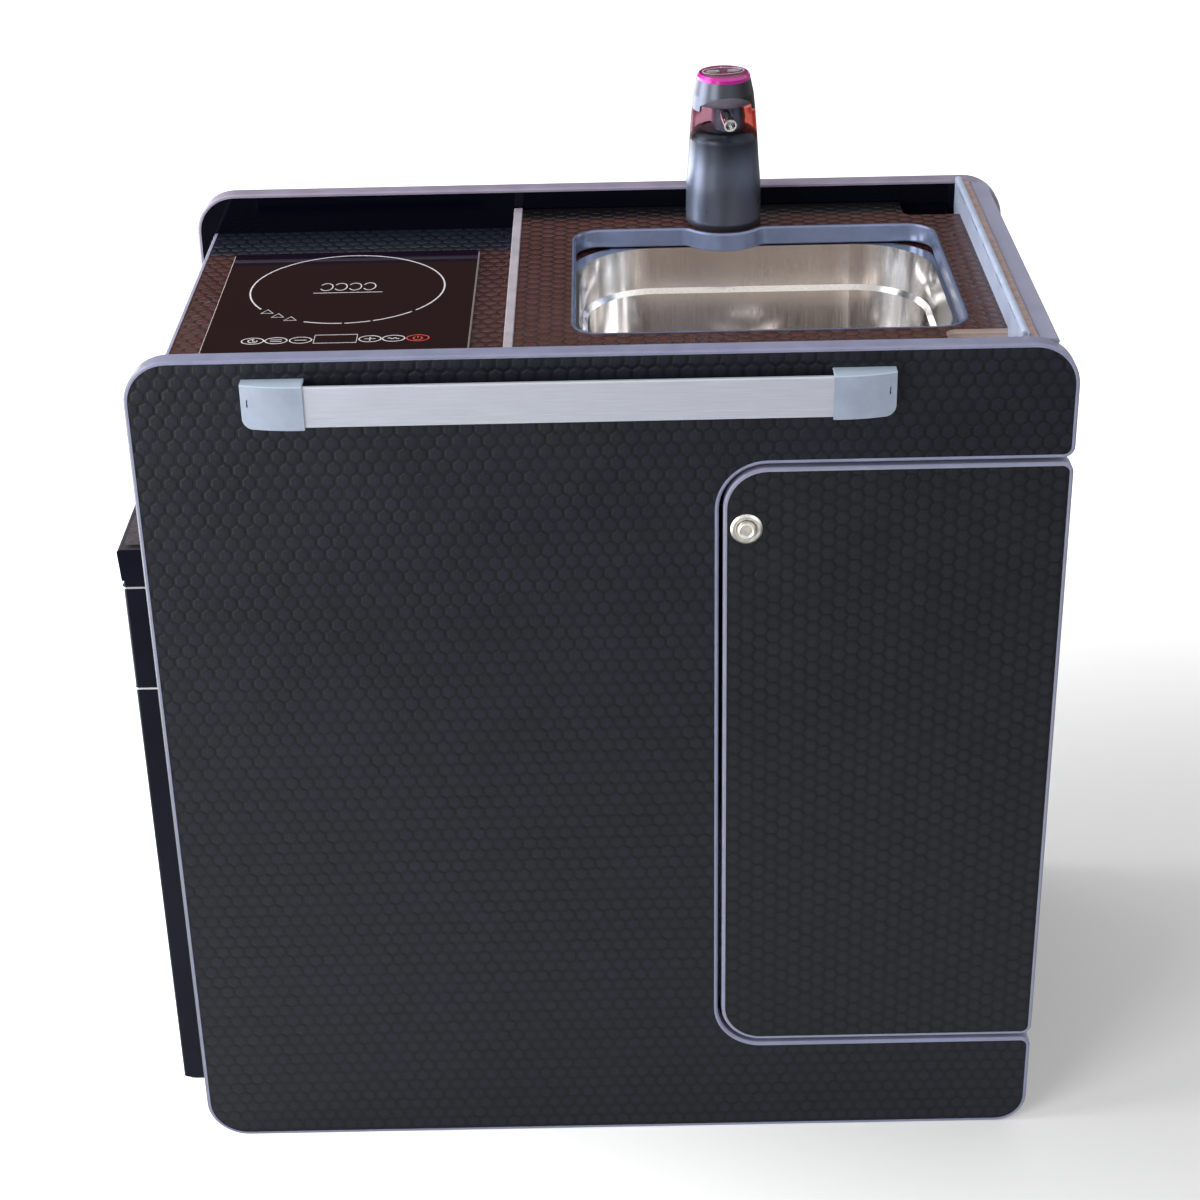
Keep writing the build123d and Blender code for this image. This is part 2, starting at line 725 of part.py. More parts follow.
def rail_section(low, high):
    """The rail's J: back plate on the panel, web below and a grooved face plate that rises past it."""
    wall = rail_wall
    face = wall - rail_proud
    groove = rail_bottom + rail_groove_height
    return shape_of([
        (0, low, 0), (0, high - 8, 0), (-wall, high - 8, 0), (-wall, low + wall, 1.5),
        (face, low + wall, 1.5), (face, high - 2, 0), (face + rail_lip, high - 1.2, 0),
        (face + rail_lip, high, 0.6), (-rail_proud, high, 1.2), (-rail_proud, groove + rail_groove, 0),
        (rail_groove - rail_proud, groove, 0), (-rail_proud, groove - rail_groove, 0), (-rail_proud, low, 2.0)])


def rail_cap(end, side):
    """An end cap that bows back towards the panel, with rounded outer corners and a slot."""
    low = rail_bottom
    high = rail_bottom + rail_height
    proud = rail_proud + rail_cap_wrap
    tip = end + side * rail_cap_length
    middle = (end + tip) / 2
    front = ThreePointArc((end, -proud), (middle, -rail_cap_middle), (tip, -rail_cap_end))
    back = Polyline((tip, -rail_cap_end), (tip, 0), (end, 0), (end, -proud))
    plan = make_face([front, back])
    cap = flat(plan, low, high)
    corners = cap.edges().filter_by(Axis.Y).sort_by(lambda edge: side * edge.center().X)[-2:].sort_by(Axis.Z)
    cap = fillet(corners[0], rail_cap_corner)
    top = cap.faces().sort_by(Axis.Z)[-1]
    cap = chamfer([edge for edge in top.edges() if edge.center().Y < -rail_cap_end / 2 - 1], 0.7)
    socket = sorted((end - side, end + side * 6.5))
    cap -= block(socket, (-rail_proud - 0.2, 1), (low + 0.8, high - 0.8))
    slot = tip - side * rail_cap_slot_inset
    slot_z = rail_bottom + rail_height / 2
    slot_z = (slot_z, slot_z + rail_cap_slot_height)
    return cap - block((slot - 0.5, slot + 0.5), (-rail_proud, 2 - rail_cap_end), slot_z)


def build_rail():
    inner = (rail_left + rail_cap_length, rail_right - rail_cap_length)
    section = rail_section(rail_bottom + 1, rail_bottom + rail_height - 1)
    rail = along_x(section, inner[0] - 6, inner[1] + 6)
    return {"table_rail": rail, "rail_caps": [rail_cap(inner[0], -1), rail_cap(inner[1], 1)]}


def build_cupboard_door():
    door, trim = trimmed_board(door_outline(), 0)
    barrel = lock_button_radius + 1.6
    door -= Pos(lock_x, board / 2, lock_z) * Rot(90, 0, 0) * Cylinder(barrel + 0.4, board + 2)
    rosette = turned([
        (lock_button_radius + 0.4, -board), (barrel, -board), (barrel, 0), (lock_rosette_radius, 0),
        (lock_rosette_radius, 0.8), (lock_rosette_radius - 1.6, lock_rosette_thick),
        (lock_button_radius + 1.4, lock_rosette_thick - 0.2), (lock_button_radius + 0.4, 1.4)], 0, 0)
    face_lock = Pos(lock_x, 0, lock_z) * Rot(90, 0, 0)
    proud = lock_rosette_thick + lock_button_proud
    button = turned([
        (0, -board - 6), (lock_button_radius, -board - 6), (lock_button_radius, proud - 1.6),
        (lock_button_radius - 0.7, proud - 0.5), (lock_button_radius - 2, proud),
        (lock_button_radius - 3.2, proud - 0.7), (0, proud - 1.1)], 0, 0)
    case_y = (board, board + lock_case_depth)
    case = block((lock_case_left, lock_case_left + lock_case_width), case_y,
                 (lock_z - lock_case_height / 2, lock_z + lock_case_height / 2))
    case = fillet(case.edges().filter_by(Axis.Y), 4)
    well = lock_button_radius + 0.4
    case -= Pos(lock_x, board + 4, lock_z) * Rot(90, 0, 0) * Cylinder(well, 12)
    bolt_y = (board + 10.8, board + 10.8 + lock_bolt_thick)
    bolt_z = (lock_z - lock_bolt_height / 2, lock_z + lock_bolt_height / 2)
    bolt_x = (door_left - 0.5, lock_case_left + 30)
    case -= block((lock_case_left - 1, bolt_x[1] + 0.4), (bolt_y[0] - 0.3, bolt_y[1] + 0.3),
                  (bolt_z[0] - 0.3, bolt_z[1] + 0.3))
    bolt = block(bolt_x, bolt_y, bolt_z)
    bolt = chamfer(bolt.faces().sort_by(Axis.X)[0].edges().sort_by(Axis.Y)[0], 2.5)
    strike_right = notch_left - trim_head - 0.5
    strike = block((strike_right - 13, strike_right), (board, board + 1.6), (lock_z - 22, lock_z + 22))
    strike += block((strike_right - 8, strike_right), (board, bolt_y[0] - 0.3), (lock_z - 12, lock_z + 12))
    return {
        "door_board": door, "door_trim": trim, "lock_rosette": face_lock * rosette,
        "lock_button": face_lock * button, "lock_case": case, "lock_bolt": bolt, "strike_plate": strike}


def build_door_hinges():
    """Two butt hinges in the corner between the side board's face and the door's back."""
    radius = door_knuckle_radius
    length = door_hinge_length
    leaf_room = door_hinge_room
    leaf_skin = (-radius - leaf_room, -radius - leaf_room + leaf_wall)
    fixed_plate = block(leaf_skin, (0, door_leaf_width), (0, length))
    edge = panel_half - trim_head - trim_lip - door_axis_x
    half_wall = leaf_wall / 2
    moving_plate = block((-door_leaf_width, edge), leaf_skin, (0, length))
    fixed_plate += block((-radius - leaf_room, 0), (-half_wall, half_wall), (0, length))
    moving_plate += block((-half_wall, half_wall), (-radius - leaf_room, 0), (0, length))
    size = (length, door_hinge_knuckles)
    fixed = hinge_half(fixed_plate, *size, 0, radius, door_pin_radius)
    moving = hinge_half(moving_plate, *size, 1, radius, door_pin_radius)
    pin = Pos(0, 0, length / 2) * Cylinder(door_pin_radius, length)
    leaf_x = -radius - leaf_room
    screws = []
    for i in range(door_hinge_screws):
        z = (i + 0.5) * length / door_hinge_screws
        across = door_leaf_width / 2 + (3 if i % 2 else -1)
        head = turned([(0, 0), (screw_radius, 0), (screw_radius * 0.6, screw_head), (0, screw_head)], 0, 0)
        screws.append(Pos(leaf_x + leaf_wall, across, z) * (Rot(0, 90, 0) * head))
    starts = (door_bottom + door_hinge_inset, door_top - door_hinge_inset - length)
    places = [Pos(door_axis_x, door_axis_y, z) for z in starts]
    return {
        "door_hinge_fixed_leaves": [place * fixed for place in places],
        "door_hinge_moving_leaves": [place * moving for place in places],
        "hinge_screws": [place * screw for place in places for screw in screws],
        "hinge_pins": [place * pin for place in places]}


def fridge_profile(inset):
    """The cabinet's side outline, or the cavity's where it is drawn in by the wall."""
    rear = fridge_back - inset
    bay = fridge_back - compressor_bay_depth - inset
    step = fridge_bottom + compressor_bay_height + inset
    return shape_of([
        (fridge_front, fridge_bottom + inset, 0), (bay, fridge_bottom + inset, 0), (bay, step, 0),
        (rear, step, 0), (rear, fridge_top - inset, 0), (fridge_front, fridge_top - inset, 0)])


def build_fridge():
    wall = fridge_wall
    inner = wall + fridge_liner_wall
    y = fridge_y
    hollow_y = (y[0] + inner, y[1] - inner)
    case = along_y(fridge_profile(0), *y)
    case -= along_y(fridge_profile(wall), y[0] + wall, y[1] - wall)
    for x in (fridge_front + 30, fridge_back - compressor_bay_depth - 30):
        for foot_y in (y[0] + 30, y[1] - 30):
            foot = Pos(x, foot_y, fridge_bottom - fridge_foot_height / 2)
            case += foot * Cylinder(12, fridge_foot_height)
    bay_x = (fridge_back - compressor_bay_depth, fridge_back)
    tray = block((bay_x[0] - 1, bay_x[1]), y, (fridge_bottom, fridge_bottom + 2))
    case += tray
    liner = along_y(fridge_profile(wall), y[0] + wall, y[1] - wall)
    liner -= along_y(fridge_profile(inner), *hollow_y)
    ledge_low = fridge_bottom + compressor_bay_height + inner + 5
    ledge_x = (fridge_front + 62, fridge_back - inner)
    for top in (ledge_low, shelf_high):
        for side in ((hollow_y[0], hollow_y[0] + shelf_ledge), (hollow_y[1] - shelf_ledge, hollow_y[1])):
            liner += block(ledge_x, side, (top - 5, top))
    shelves = []
    for top in (ledge_low, shelf_high):
        shelf_y = (hollow_y[0] + 1, hollow_y[1] - 1)
        shelf_x = (ledge_x[0] + 4, ledge_x[1] - 4)
        rods = block(shelf_x, (shelf_y[0], shelf_y[0] + shelf_rod), (top, top + shelf_rod))
        rods += block(shelf_x, (shelf_y[1] - shelf_rod, shelf_y[1]), (top, top + shelf_rod))
        pitch = (shelf_x[1] - shelf_x[0] - shelf_rod) / (shelf_rods - 1)
        for i in range(shelf_rods):
            x = shelf_x[0] + i * pitch
            rods += block((x, x + shelf_rod), shelf_y, (top, top + shelf_rod))
        shelves.append(rods)
    ceiling = fridge_top - inner
    ice_x = (fridge_front + 70, fridge_back - inner - 20)
    ice_y = (hollow_y[0] + 16, hollow_y[1] - 16)
    ice_outer = shape_of([
        (ice_y[0], ceiling, 0), (ice_y[0], ceiling - evaporator_drop, 12),
        (ice_y[1], ceiling - evaporator_drop, 12), (ice_y[1], ceiling, 0)])
    ice_box = along_x(ice_outer - offset(ice_outer, amount=-evaporator_sheet), *ice_x)
    house_top = ceiling - evaporator_drop - thermostat_under_ice
    house_z = (house_top - thermostat_height, house_top)
    house_x = (fridge_front + thermostat_from_front, fridge_front + thermostat_from_front + thermostat_length)
    house = block(house_x, (hollow_y[1] - thermostat_depth, hollow_y[1]), house_z)
    house = fillet(house.edges().filter_by(Axis.X).sort_by(Axis.Y)[:2], 6)
    knob_y = hollow_y[1] - thermostat_depth / 2
    knob_z = (house_z[0] + house_z[1]) / 2
    dial = Pos(house_x[0], knob_y, knob_z) * Rot(0, -90, 0)
    house -= dial * Pos(0, 0, -4) * Cylinder(4.1, 8.1)
    knob = dial * Pos(0, 0, 6.3) * Cylinder(knob_radius, 12)
    knob = chamfer(knob.faces().sort_by(Axis.X)[0].edges(), 1.5)
    knob += dial * Pos(0, 0, -3.5) * Cylinder(4.0, 8)
    knob -= dial * Pos(0, knob_radius - 3, 12.3) * Box(2, 6, 2)
    pump_x = (bay_x[0] + bay_x[1]) / 2
    floor = fridge_bottom + 2
    radius = compressor_radius
    top = floor + compressor_height
    compressor = turned([
        (0, floor), (radius * 0.8, floor), (radius, floor + radius / 2), (radius, top, radius * 0.6), (0, top)],
        pump_x, (y[0] + y[1]) / 2)
    compressor += Pos(pump_x, (y[0] + y[1]) / 2, floor + 3) * Box(2.2 * radius, 2.6 * radius, 6)
    return {
        "fridge_case": case, "fridge_liner": liner, "fridge_shelves": shelves,
        "fridge_evaporator": ice_box, "thermostat_housing": house, "thermostat_knob": knob,
        "fridge_compressor": compressor, "fridge_hinge_plates": fridge_hinge_plates()}


def fridge_hinge_plates():
    """A plate under the door and one over it, each with the pin that the door turns on."""
    reach = fridge_axis_x - fridge_plate_edge
    width = (fridge_axis_y - fridge_plate_edge, fridge_axis_y - fridge_plate_edge + fridge_plate_width)
    plates = []
    for z, tip, direction in ((fridge_bottom, fridge_door_z[0], 1), (fridge_top, fridge_door_z[1], -1)):
        low, high = sorted((z, z - direction * fridge_plate))
        plate = block((reach, fridge_front + fridge_plate_lap), width, (low, high))
        pin_z = sorted((z - direction * fridge_plate, tip + direction * fridge_pin_length))
        plate += Pos(fridge_axis_x, fridge_axis_y, sum(pin_z) / 2) * Cylinder(
            fridge_pin_radius, pin_z[1] - pin_z[0])
        plates.append(plate)
    return plates


def door_layer(z, grow):
    """A level slice of the fridge door with its four upright edges rounded."""
    across = (fridge_door_y[0] - grow, fridge_door_y[1] + grow)
    layer = block((fridge_door_face - grow, fridge_door_back), across, z)
    outer = layer.edges().filter_by(Axis.Z).sort_by(Axis.X)[:2]
    return fillet(outer, fridge_door_edge)


def build_fridge_door():
    low, high = fridge_door_z
    handle_low = fridge_handle_bottom
    strips = [
        (fridge_strip_height - fridge_strip / 2, fridge_strip_height + fridge_strip / 2),
        (handle_low - fridge_grip_height - fridge_strip, handle_low - fridge_grip_height)]
    lower = door_layer((low, strips[0][0]), 0)
    upper = door_layer((strips[0][1], strips[1][0]), 0)
    lower -= along_y(shape_of([
        (fridge_door_face - 1, low - 1, 0), (fridge_door_face + fridge_door_slant_depth, low - 1, 0),
        (fridge_door_face + fridge_door_slant_depth, low, 0),
        (fridge_door_face - 1, low + fridge_door_slant, 0)]), 0, pod_depth)
    bands = [door_layer(strips[0], 0.4), door_layer(strips[1], 0.8)]
    grip_x = (fridge_door_face + fridge_grip_depth, fridge_door_back)
    grip = block(grip_x, fridge_door_y, (strips[1][1], handle_low))
    flare = shape_of([
        (fridge_door_back, handle_low, 0), (fridge_door_face - 0.4, handle_low, 1.5),
        (fridge_door_face - fridge_handle_flare, high, 2.5), (fridge_door_face + 12, high, 2),
        (fridge_door_face + 14, high - 11, 2), (fridge_door_face + 28, high - 11, 2),
        (fridge_door_face + 28, high, 0), (fridge_door_back, high, 0)])
    handle = along_y(flare, *fridge_door_y) + grip
    for side in (fridge_door_y[0], fridge_door_y[1] - fridge_grip_end):
        handle += block((fridge_door_face + 2, fridge_door_back), (side, side + fridge_grip_end),
                        (strips[1][1], handle_low))
    ends = fridge_axis_y + 14
    handle += block((fridge_door_face + 8, fridge_door_back), (fridge_door_y[0], ends), (handle_low + 4, high))
    handle += block((fridge_door_face + 8, fridge_door_back), (fridge_door_y[1] - ends + fridge_door_y[0],
                    fridge_door_y[1]), (handle_low + 4, high))
    bore = fridge_pin_radius + pin_clearance
    for z in (low, high):
        socket = Pos(fridge_axis_x, fridge_axis_y, z) * Cylinder(bore, 2 * (fridge_pin_length + 1))
        lower -= socket
        handle -= socket
    gasket_y = (fridge_y[0] + 14, fridge_y[1] - 14)
    gasket_z = (fridge_bottom + 15, fridge_top - 15)
    gasket_x = (fridge_door_back, fridge_front - gasket_gap)
    gasket = block(gasket_x, gasket_y, gasket_z)
    core_y = (gasket_y[0] + gasket_width, gasket_y[1] - gasket_width)
    core_z = (gasket_z[0] + gasket_width, gasket_z[1] - gasket_width)
    gasket -= block((gasket_x[0] - 1, gasket_x[1] + 1), core_y, core_z)
    liner = block((fridge_door_back, fridge_door_back + 3), core_y, core_z)
    hollow = (fridge_y[0] + fridge_wall + fridge_liner_wall, fridge_y[1] - fridge_wall - fridge_liner_wall)
    rack_y = (hollow[0] + 12, hollow[1] - 20)
    reach = fridge_door_back + rack_reach
    for side in (rack_y[0], rack_y[1] - rack_side):
        liner += block((fridge_door_back + 3, reach - 2 * rack_side), (side, side + rack_side),
                       (core_z[0] + rack_low - rack_side, core_z[0] + rack_high + rack_height))
    racks = []
    for z in (core_z[0] + rack_low, core_z[0] + rack_high):
        shelf_y = (rack_y[0] + rack_side, rack_y[1] - rack_side)
        shelf = block((fridge_door_back + 3, reach), shelf_y, (z, z + rack_height))
        shelf = fillet(shelf.edges().filter_by(Axis.Z).sort_by(Axis.X)[-2:], 8)
        hollow_x = (fridge_door_back + 3 + rack_wall, reach - rack_wall)
        cup = block(hollow_x, (rack_y[0] + rack_side + rack_wall, rack_y[1] - rack_side - rack_wall),
                    (z + rack_wall, z + rack_height + 1))
        cup = fillet(cup.edges().filter_by(Axis.Z).sort_by(Axis.X)[-2:], 6)
        racks.append(shelf - cup)
    return {
        "fridge_door_panels": [lower, upper], "fridge_door_strips": bands, "fridge_door_handle": handle,
        "fridge_door_gasket": gasket, "fridge_door_liner": liner, "fridge_door_racks": racks}


def build_containers():
    x = (divider_right + side_inner) / 2
    first = inner_front + container_from_door + container_width / 2
    bodies = []
    caps = []
    for y in (first, first + container_width + container_gap):
        top = base_top + container_height
        tank = flat(Pos(x, y) * RectangleRounded(container_length, container_width, container_corner), base_top, top)
        tank = chamfer(tank.faces().sort_by(Axis.Z)[-1].edges(), container_top_radius / 2)
        grip_x = x + container_length / 2 - container_handle / 2 - 24
        grip = shape_of([
            (grip_x - container_handle / 2, top - 1, 0), (grip_x + container_handle / 2, top - 1, 0),
            (grip_x + container_handle / 2, top + container_handle_height, 14),
            (grip_x - container_handle / 2, top + container_handle_height, 14)])
        slot = Pos(grip_x, top + container_handle_height / 2 - 3) * SlotOverall(
            container_handle - 28, container_handle_slot)
        tank += along_y(grip - slot, y - container_handle_width / 2, y + container_handle_width / 2)
        neck_x = x - container_length / 2 + container_cap_radius + 14
        cap_low = top + container_neck_height
        cap_high = cap_low + container_cap_height
        tank += Pos(neck_x, y, top) * Cylinder(container_cap_radius - 5, 2 * container_neck_height)
        cap = turned([
            (0, cap_low), (container_cap_radius, cap_low), (container_cap_radius, cap_high - 2),
            (container_cap_radius - 2, cap_high), (0, cap_high)], neck_x, y)
        bodies.append(tank)
        caps.append(cap)
    return {"water_containers": bodies, "container_caps": caps}


def build_pod():
    """Every node of the pod by name, each as one solid or as a list of separate solids."""
    pod = {}
    groups = (
        build_panels, build_carcass, build_worktop, build_hob, build_sink, build_lid, build_lid_hinge,
        build_tap, build_rail, build_cupboard_door, build_door_hinges, build_fridge, build_fridge_door,
        build_containers)
    for group in groups:
        for name, piece in group().items():
            pieces = piece if isinstance(piece, list) else [piece]
            pod.setdefault(name, []).extend(pieces)
    return pod


def write_pod(pod):
    os.makedirs("parts", exist_ok=True)
    place = Pos(-origin_x, -origin_y, 0)
    for name, pieces in pod.items():
        placed = [place * piece for piece in pieces]
        whole = placed[0] if len(placed) == 1 else Compound(placed)
        export_step(whole, "parts/" + name + ".step")


write_pod(build_pod())
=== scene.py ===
import math

import bmesh
import bpy
from mathutils import Matrix, Vector


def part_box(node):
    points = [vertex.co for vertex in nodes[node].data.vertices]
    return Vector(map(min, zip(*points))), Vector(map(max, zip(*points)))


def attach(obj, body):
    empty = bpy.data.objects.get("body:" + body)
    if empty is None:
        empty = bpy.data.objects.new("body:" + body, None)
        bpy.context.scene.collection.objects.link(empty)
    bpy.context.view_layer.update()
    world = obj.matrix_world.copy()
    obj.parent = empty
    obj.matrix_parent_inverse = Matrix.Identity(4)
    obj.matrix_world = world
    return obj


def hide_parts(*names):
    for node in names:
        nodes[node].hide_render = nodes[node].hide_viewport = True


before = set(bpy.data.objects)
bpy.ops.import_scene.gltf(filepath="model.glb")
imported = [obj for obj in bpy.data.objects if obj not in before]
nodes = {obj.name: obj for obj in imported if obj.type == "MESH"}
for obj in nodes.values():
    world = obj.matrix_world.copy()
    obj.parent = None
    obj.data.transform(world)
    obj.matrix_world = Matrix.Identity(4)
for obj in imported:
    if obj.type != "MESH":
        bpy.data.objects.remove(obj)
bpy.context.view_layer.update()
print("frame loaded:", len(nodes), "pieces")


def low(name, axis):
    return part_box(name)[0]["XYZ".index(axis)]


def high(name, axis):
    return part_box(name)[1]["XYZ".index(axis)]


def middle(name, axis):
    return (low(name, axis) + high(name, axis)) / 2


# Places on the pod that several pieces start from
podX = middle("front_panel", "X")
frontY = low("front_panel", "Y")
rearY = low("rear_panel", "Y")
lidZ = high("lid_board", "Z")
glassZ = high("hob_glass", "Z")
tapX = middle("tap_ring", "X")
tapY = middle("tap_ring", "Y")


# Camera: right of the front panel's middle, back from its face and above the floor, then its turns

cameraSettings = {
    "right": 0.005774,
    "back": 1.68969,
    "height": 1.407654,
    "pitch": 27.5318,
    "yaw": -0.34857,
    "roll": -1.31882,
    "focalPixels": 2427.08,
    "framePixels": 1200,
    "sensor": 36.0,
    "near": 0.05,
    "far": 50,
}


def makeCamera(settings):
    data = bpy.data.cameras.new("photoCamera")
    data.sensor_width = settings["sensor"]
    data.lens = settings["focalPixels"] / settings["framePixels"] * settings["sensor"]
    data.clip_start = settings["near"]
    data.clip_end = settings["far"]
    camera = bpy.data.objects.new("photoCamera", data)
    bpy.context.scene.collection.objects.link(camera)
    place = Vector((podX + settings["right"], frontY - settings["back"], settings["height"]))
    turn = (
        Matrix.Rotation(-math.radians(settings["yaw"]), 4, "Z")
        @ Matrix.Rotation(math.radians(90 - settings["pitch"]), 4, "X")
        @ Matrix.Rotation(math.radians(settings["roll"]), 4, "Z"))
    camera.matrix_world = Matrix.Translation(place) @ turn
    bpy.context.scene.camera = camera


makeCamera(cameraSettings)
bpy.context.scene.view_settings.view_transform = "Standard"
print("camera placed")


# Small tools for node trees. An input goes by its name with _ for each space, or by _ and its number

def addNode(tree, kind, values=None, **inputs):
    node = tree.nodes.new(kind)
    for key, value in (values or {}).items():
        setattr(node, key, value)
    for key, value in inputs.items():
        byNumber = key[0] == "_" and key[1:].isdigit()
        socket = node.inputs[int(key[1:])] if byNumber else node.inputs[key.replace("_", " ")]
        if hasattr(value, "node"):
            tree.links.new(value, socket)
        else:
            socket.default_value = value
    return node


def maths(tree, operation, a, b=0.0, c=0.0):
    return addNode(tree, "ShaderNodeMath", {"operation": operation}, _0=a, _1=b, _2=c).outputs[0]


def vectorMaths(tree, operation, a, b=(0, 0, 0), c=(0, 0, 0)):
    node = addNode(tree, "ShaderNodeVectorMath", {"operation": operation}, _0=a, _1=b)
    if operation == "WRAP":
        node.inputs[2].default_value = c
    return node.outputs["Value"] if operation == "LENGTH" else node.outputs[0]


def smooth(tree, value, start, end, least=0.0, most=1.0):
    node = addNode(
        tree, "ShaderNodeMapRange", {"interpolation_type": "SMOOTHSTEP"},
        Value=value, From_Min=start, From_Max=end, To_Min=least, To_Max=most)
    return node.outputs[0]


def noise(tree, vector, scale, detail=3.0, roughness=0.5):
    node = addNode(
        tree, "ShaderNodeTexNoise", Vector=vector, Scale=scale, Detail=detail, Roughness=roughness)
    return node.outputs[0]


def stretched(tree, vector, scale):
    return addNode(tree, "ShaderNodeMapping", Vector=vector, Scale=scale).outputs[0]


def split(tree, vector):
    return addNode(tree, "ShaderNodeSeparateXYZ", _0=vector).outputs


def facing(tree, axis):  # from -1 to 1, how far a face looks along the axis
    return split(tree, tree.nodes.new("ShaderNodeTexCoord").outputs["Normal"])[axis]


def mixColour(tree, factor, first, second):
    node = tree.nodes.new("ShaderNodeMix")
    node.data_type = "RGBA"
    for socket, value in ((node.inputs[0], factor), (node.inputs[6], first), (node.inputs[7], second)):
        if hasattr(value, "node"):
            tree.links.new(value, socket)
        elif isinstance(value, (tuple, list)):
            socket.default_value = (*value, 1.0)
        else:
            socket.default_value = value
    return node.outputs[2]


def startMaterial(name, colour, roughness, metallic=0.0, specular=0.5, coat=0.0, coatRough=0.12):
    material = bpy.data.materials.new(name)
    material.use_nodes = True
    tree = material.node_tree
    shader = tree.nodes["Principled BSDF"]
    shader.inputs["Base Color"].default_value = (*colour, 1.0)
    shader.inputs["Roughness"].default_value = roughness
    shader.inputs["Metallic"].default_value = metallic
    shader.inputs["Specular IOR Level"].default_value = specular
    shader.inputs["Coat Weight"].default_value = coat
    shader.inputs["Coat Roughness"].default_value = coatRough
    return material, tree, shader, tree.nodes.new("ShaderNodeTexCoord").outputs["Object"]


def paint(tree, shader, colour, roughness):
    tree.links.new(colour, shader.inputs["Base Color"])
    tree.links.new(roughness, shader.inputs["Roughness"])


def addBump(tree, shader, height, strength, distance):
    bump = addNode(tree, "ShaderNodeBump", Strength=strength, Distance=distance, Height=height)
    tree.links.new(bump.outputs[0], shader.inputs["Normal"])


# Laminate embossed with hexagons, with painted highlights and glints on its pads and painted shade in its
# grooves, on ply whose cut edges show their layers

laminateSettings = {
    "pitch": 0.0120,
    "groove": 0.0024,
    "rubbed": 0.55,  # how far the emboss fades where it does
    "rubbedScale": 60,
    "grainScale": 1100,
    "cloudScale": 9,
    # The bright flecks on the pads, set by the next three, are painted glints
    "glintScale": 900,
    "glintShare": 0.45,
    "glintBright": 4,
    "smoother": 0.08,
    "rougher": 0.1,
    "plainColour": (0.0012, 0.0016, 0.0048),  # the side with no emboss
    "plainRough": -0.36,
    # groove colour inside the painted reflection of the rear panel
    "paintedReflectionGroove": (0.003, 0.004, 0.008),
    "plyLight": (0.80, 0.66, 0.57),
    "plyDark": (0.60, 0.44, 0.36),
    "plyLayer": 0.0018,
    "plyFibre": 0.4,
    "fibreScale": 260,
    "plyRough": 0.7,
}
# In each kind the groove colour is painted shade in the emboss's recesses
laminateKinds = {
    "black": {
        "base": (0.0046, 0.0057, 0.0099), "pad": (0.0089, 0.0106, 0.0184),
        "groove": (0.0021, 0.0026, 0.0046), "rough": 0.44, "specular": 0.26, "relief": 0.0003},
    "rearBlack": {
        "base": (0.0050, 0.0062, 0.0115), "pad": (0.0105, 0.0125, 0.0205),
        "groove": (0.0022, 0.0027, 0.0050), "rough": 0.44, "specular": 0.12, "relief": 0.0003},
    "doorBlack": {
        "base": (0.0047, 0.0059, 0.0086), "pad": (0.0093, 0.0112, 0.0156),
        "groove": (0.0022, 0.0027, 0.0040), "rough": 0.44, "specular": 0.26, "relief": 0.0003},
    # The deck and lid laminate is dark; its brown is mostly a painted reflection of a brown room
    "paintedBrown": {
        "base": (0.044, 0.0135, 0.0105), "pad": (0.080, 0.026, 0.021),
        "groove": (0.030, 0.0095, 0.0078), "rough": 0.26, "specular": 0.36, "relief": 0.0005},
}
# Painted reflection of the dark rear panel: the deck and the lid are painted darker towards it, from so
# far before it
paintedRearReflections = {
    "deck": {"from": 0.070, "to": 0.050, "colour": (0.012, 0.015, 0.025)},
    "lid": {"from": 0.042, "to": 0.022, "colour": (0.0050, 0.0032, 0.0036)},
}


# How far a point is from the middle of its hexagon, and a chance number for each hexagon
def hexCells(tree, place, across, up):
    pitch = laminateSettings["pitch"]
    row = pitch * math.sqrt(3)
    parts = split(tree, place)
    flat = addNode(tree, "ShaderNodeCombineXYZ", X=parts[across], Y=parts[up]).outputs[0]
    nearest = []
    for shift in (0.0, 0.5):  # two grids of middles, half a step apart
        moved = vectorMaths(tree, "ADD", flat, (pitch * shift, row * shift, 0))
        wrapped = vectorMaths(tree, "WRAP", moved, (pitch / 2, row / 2, 1), (-pitch / 2, -row / 2, -1))
        nearest.append((wrapped, vectorMaths(tree, "LENGTH", wrapped)))
    chosen = tree.nodes.new("ShaderNodeMix")
    chosen.data_type = "VECTOR"
    tree.links.new(maths(tree, "LESS_THAN", nearest[1][1], nearest[0][1]), chosen.inputs[0])
    tree.links.new(nearest[0][0], chosen.inputs[4])
    tree.links.new(nearest[1][0], chosen.inputs[5])
    offset = split(tree, vectorMaths(tree, "ABSOLUTE", chosen.outputs[1]))
    halfAcross = maths(tree, "MULTIPLY", offset["X"], 0.5)
    slanted = maths(tree, "MULTIPLY_ADD", offset["Y"], math.sqrt(3) / 2, halfAcross)
    reach = maths(tree, "MAXIMUM", offset["X"], slanted)
    centre = vectorMaths(tree, "SUBTRACT", flat, chosen.outputs[1])
    chance = addNode(tree, "ShaderNodeTexWhiteNoise", {"noise_dimensions": "2D"}, Vector=centre)
    return reach, chance.outputs["Value"]


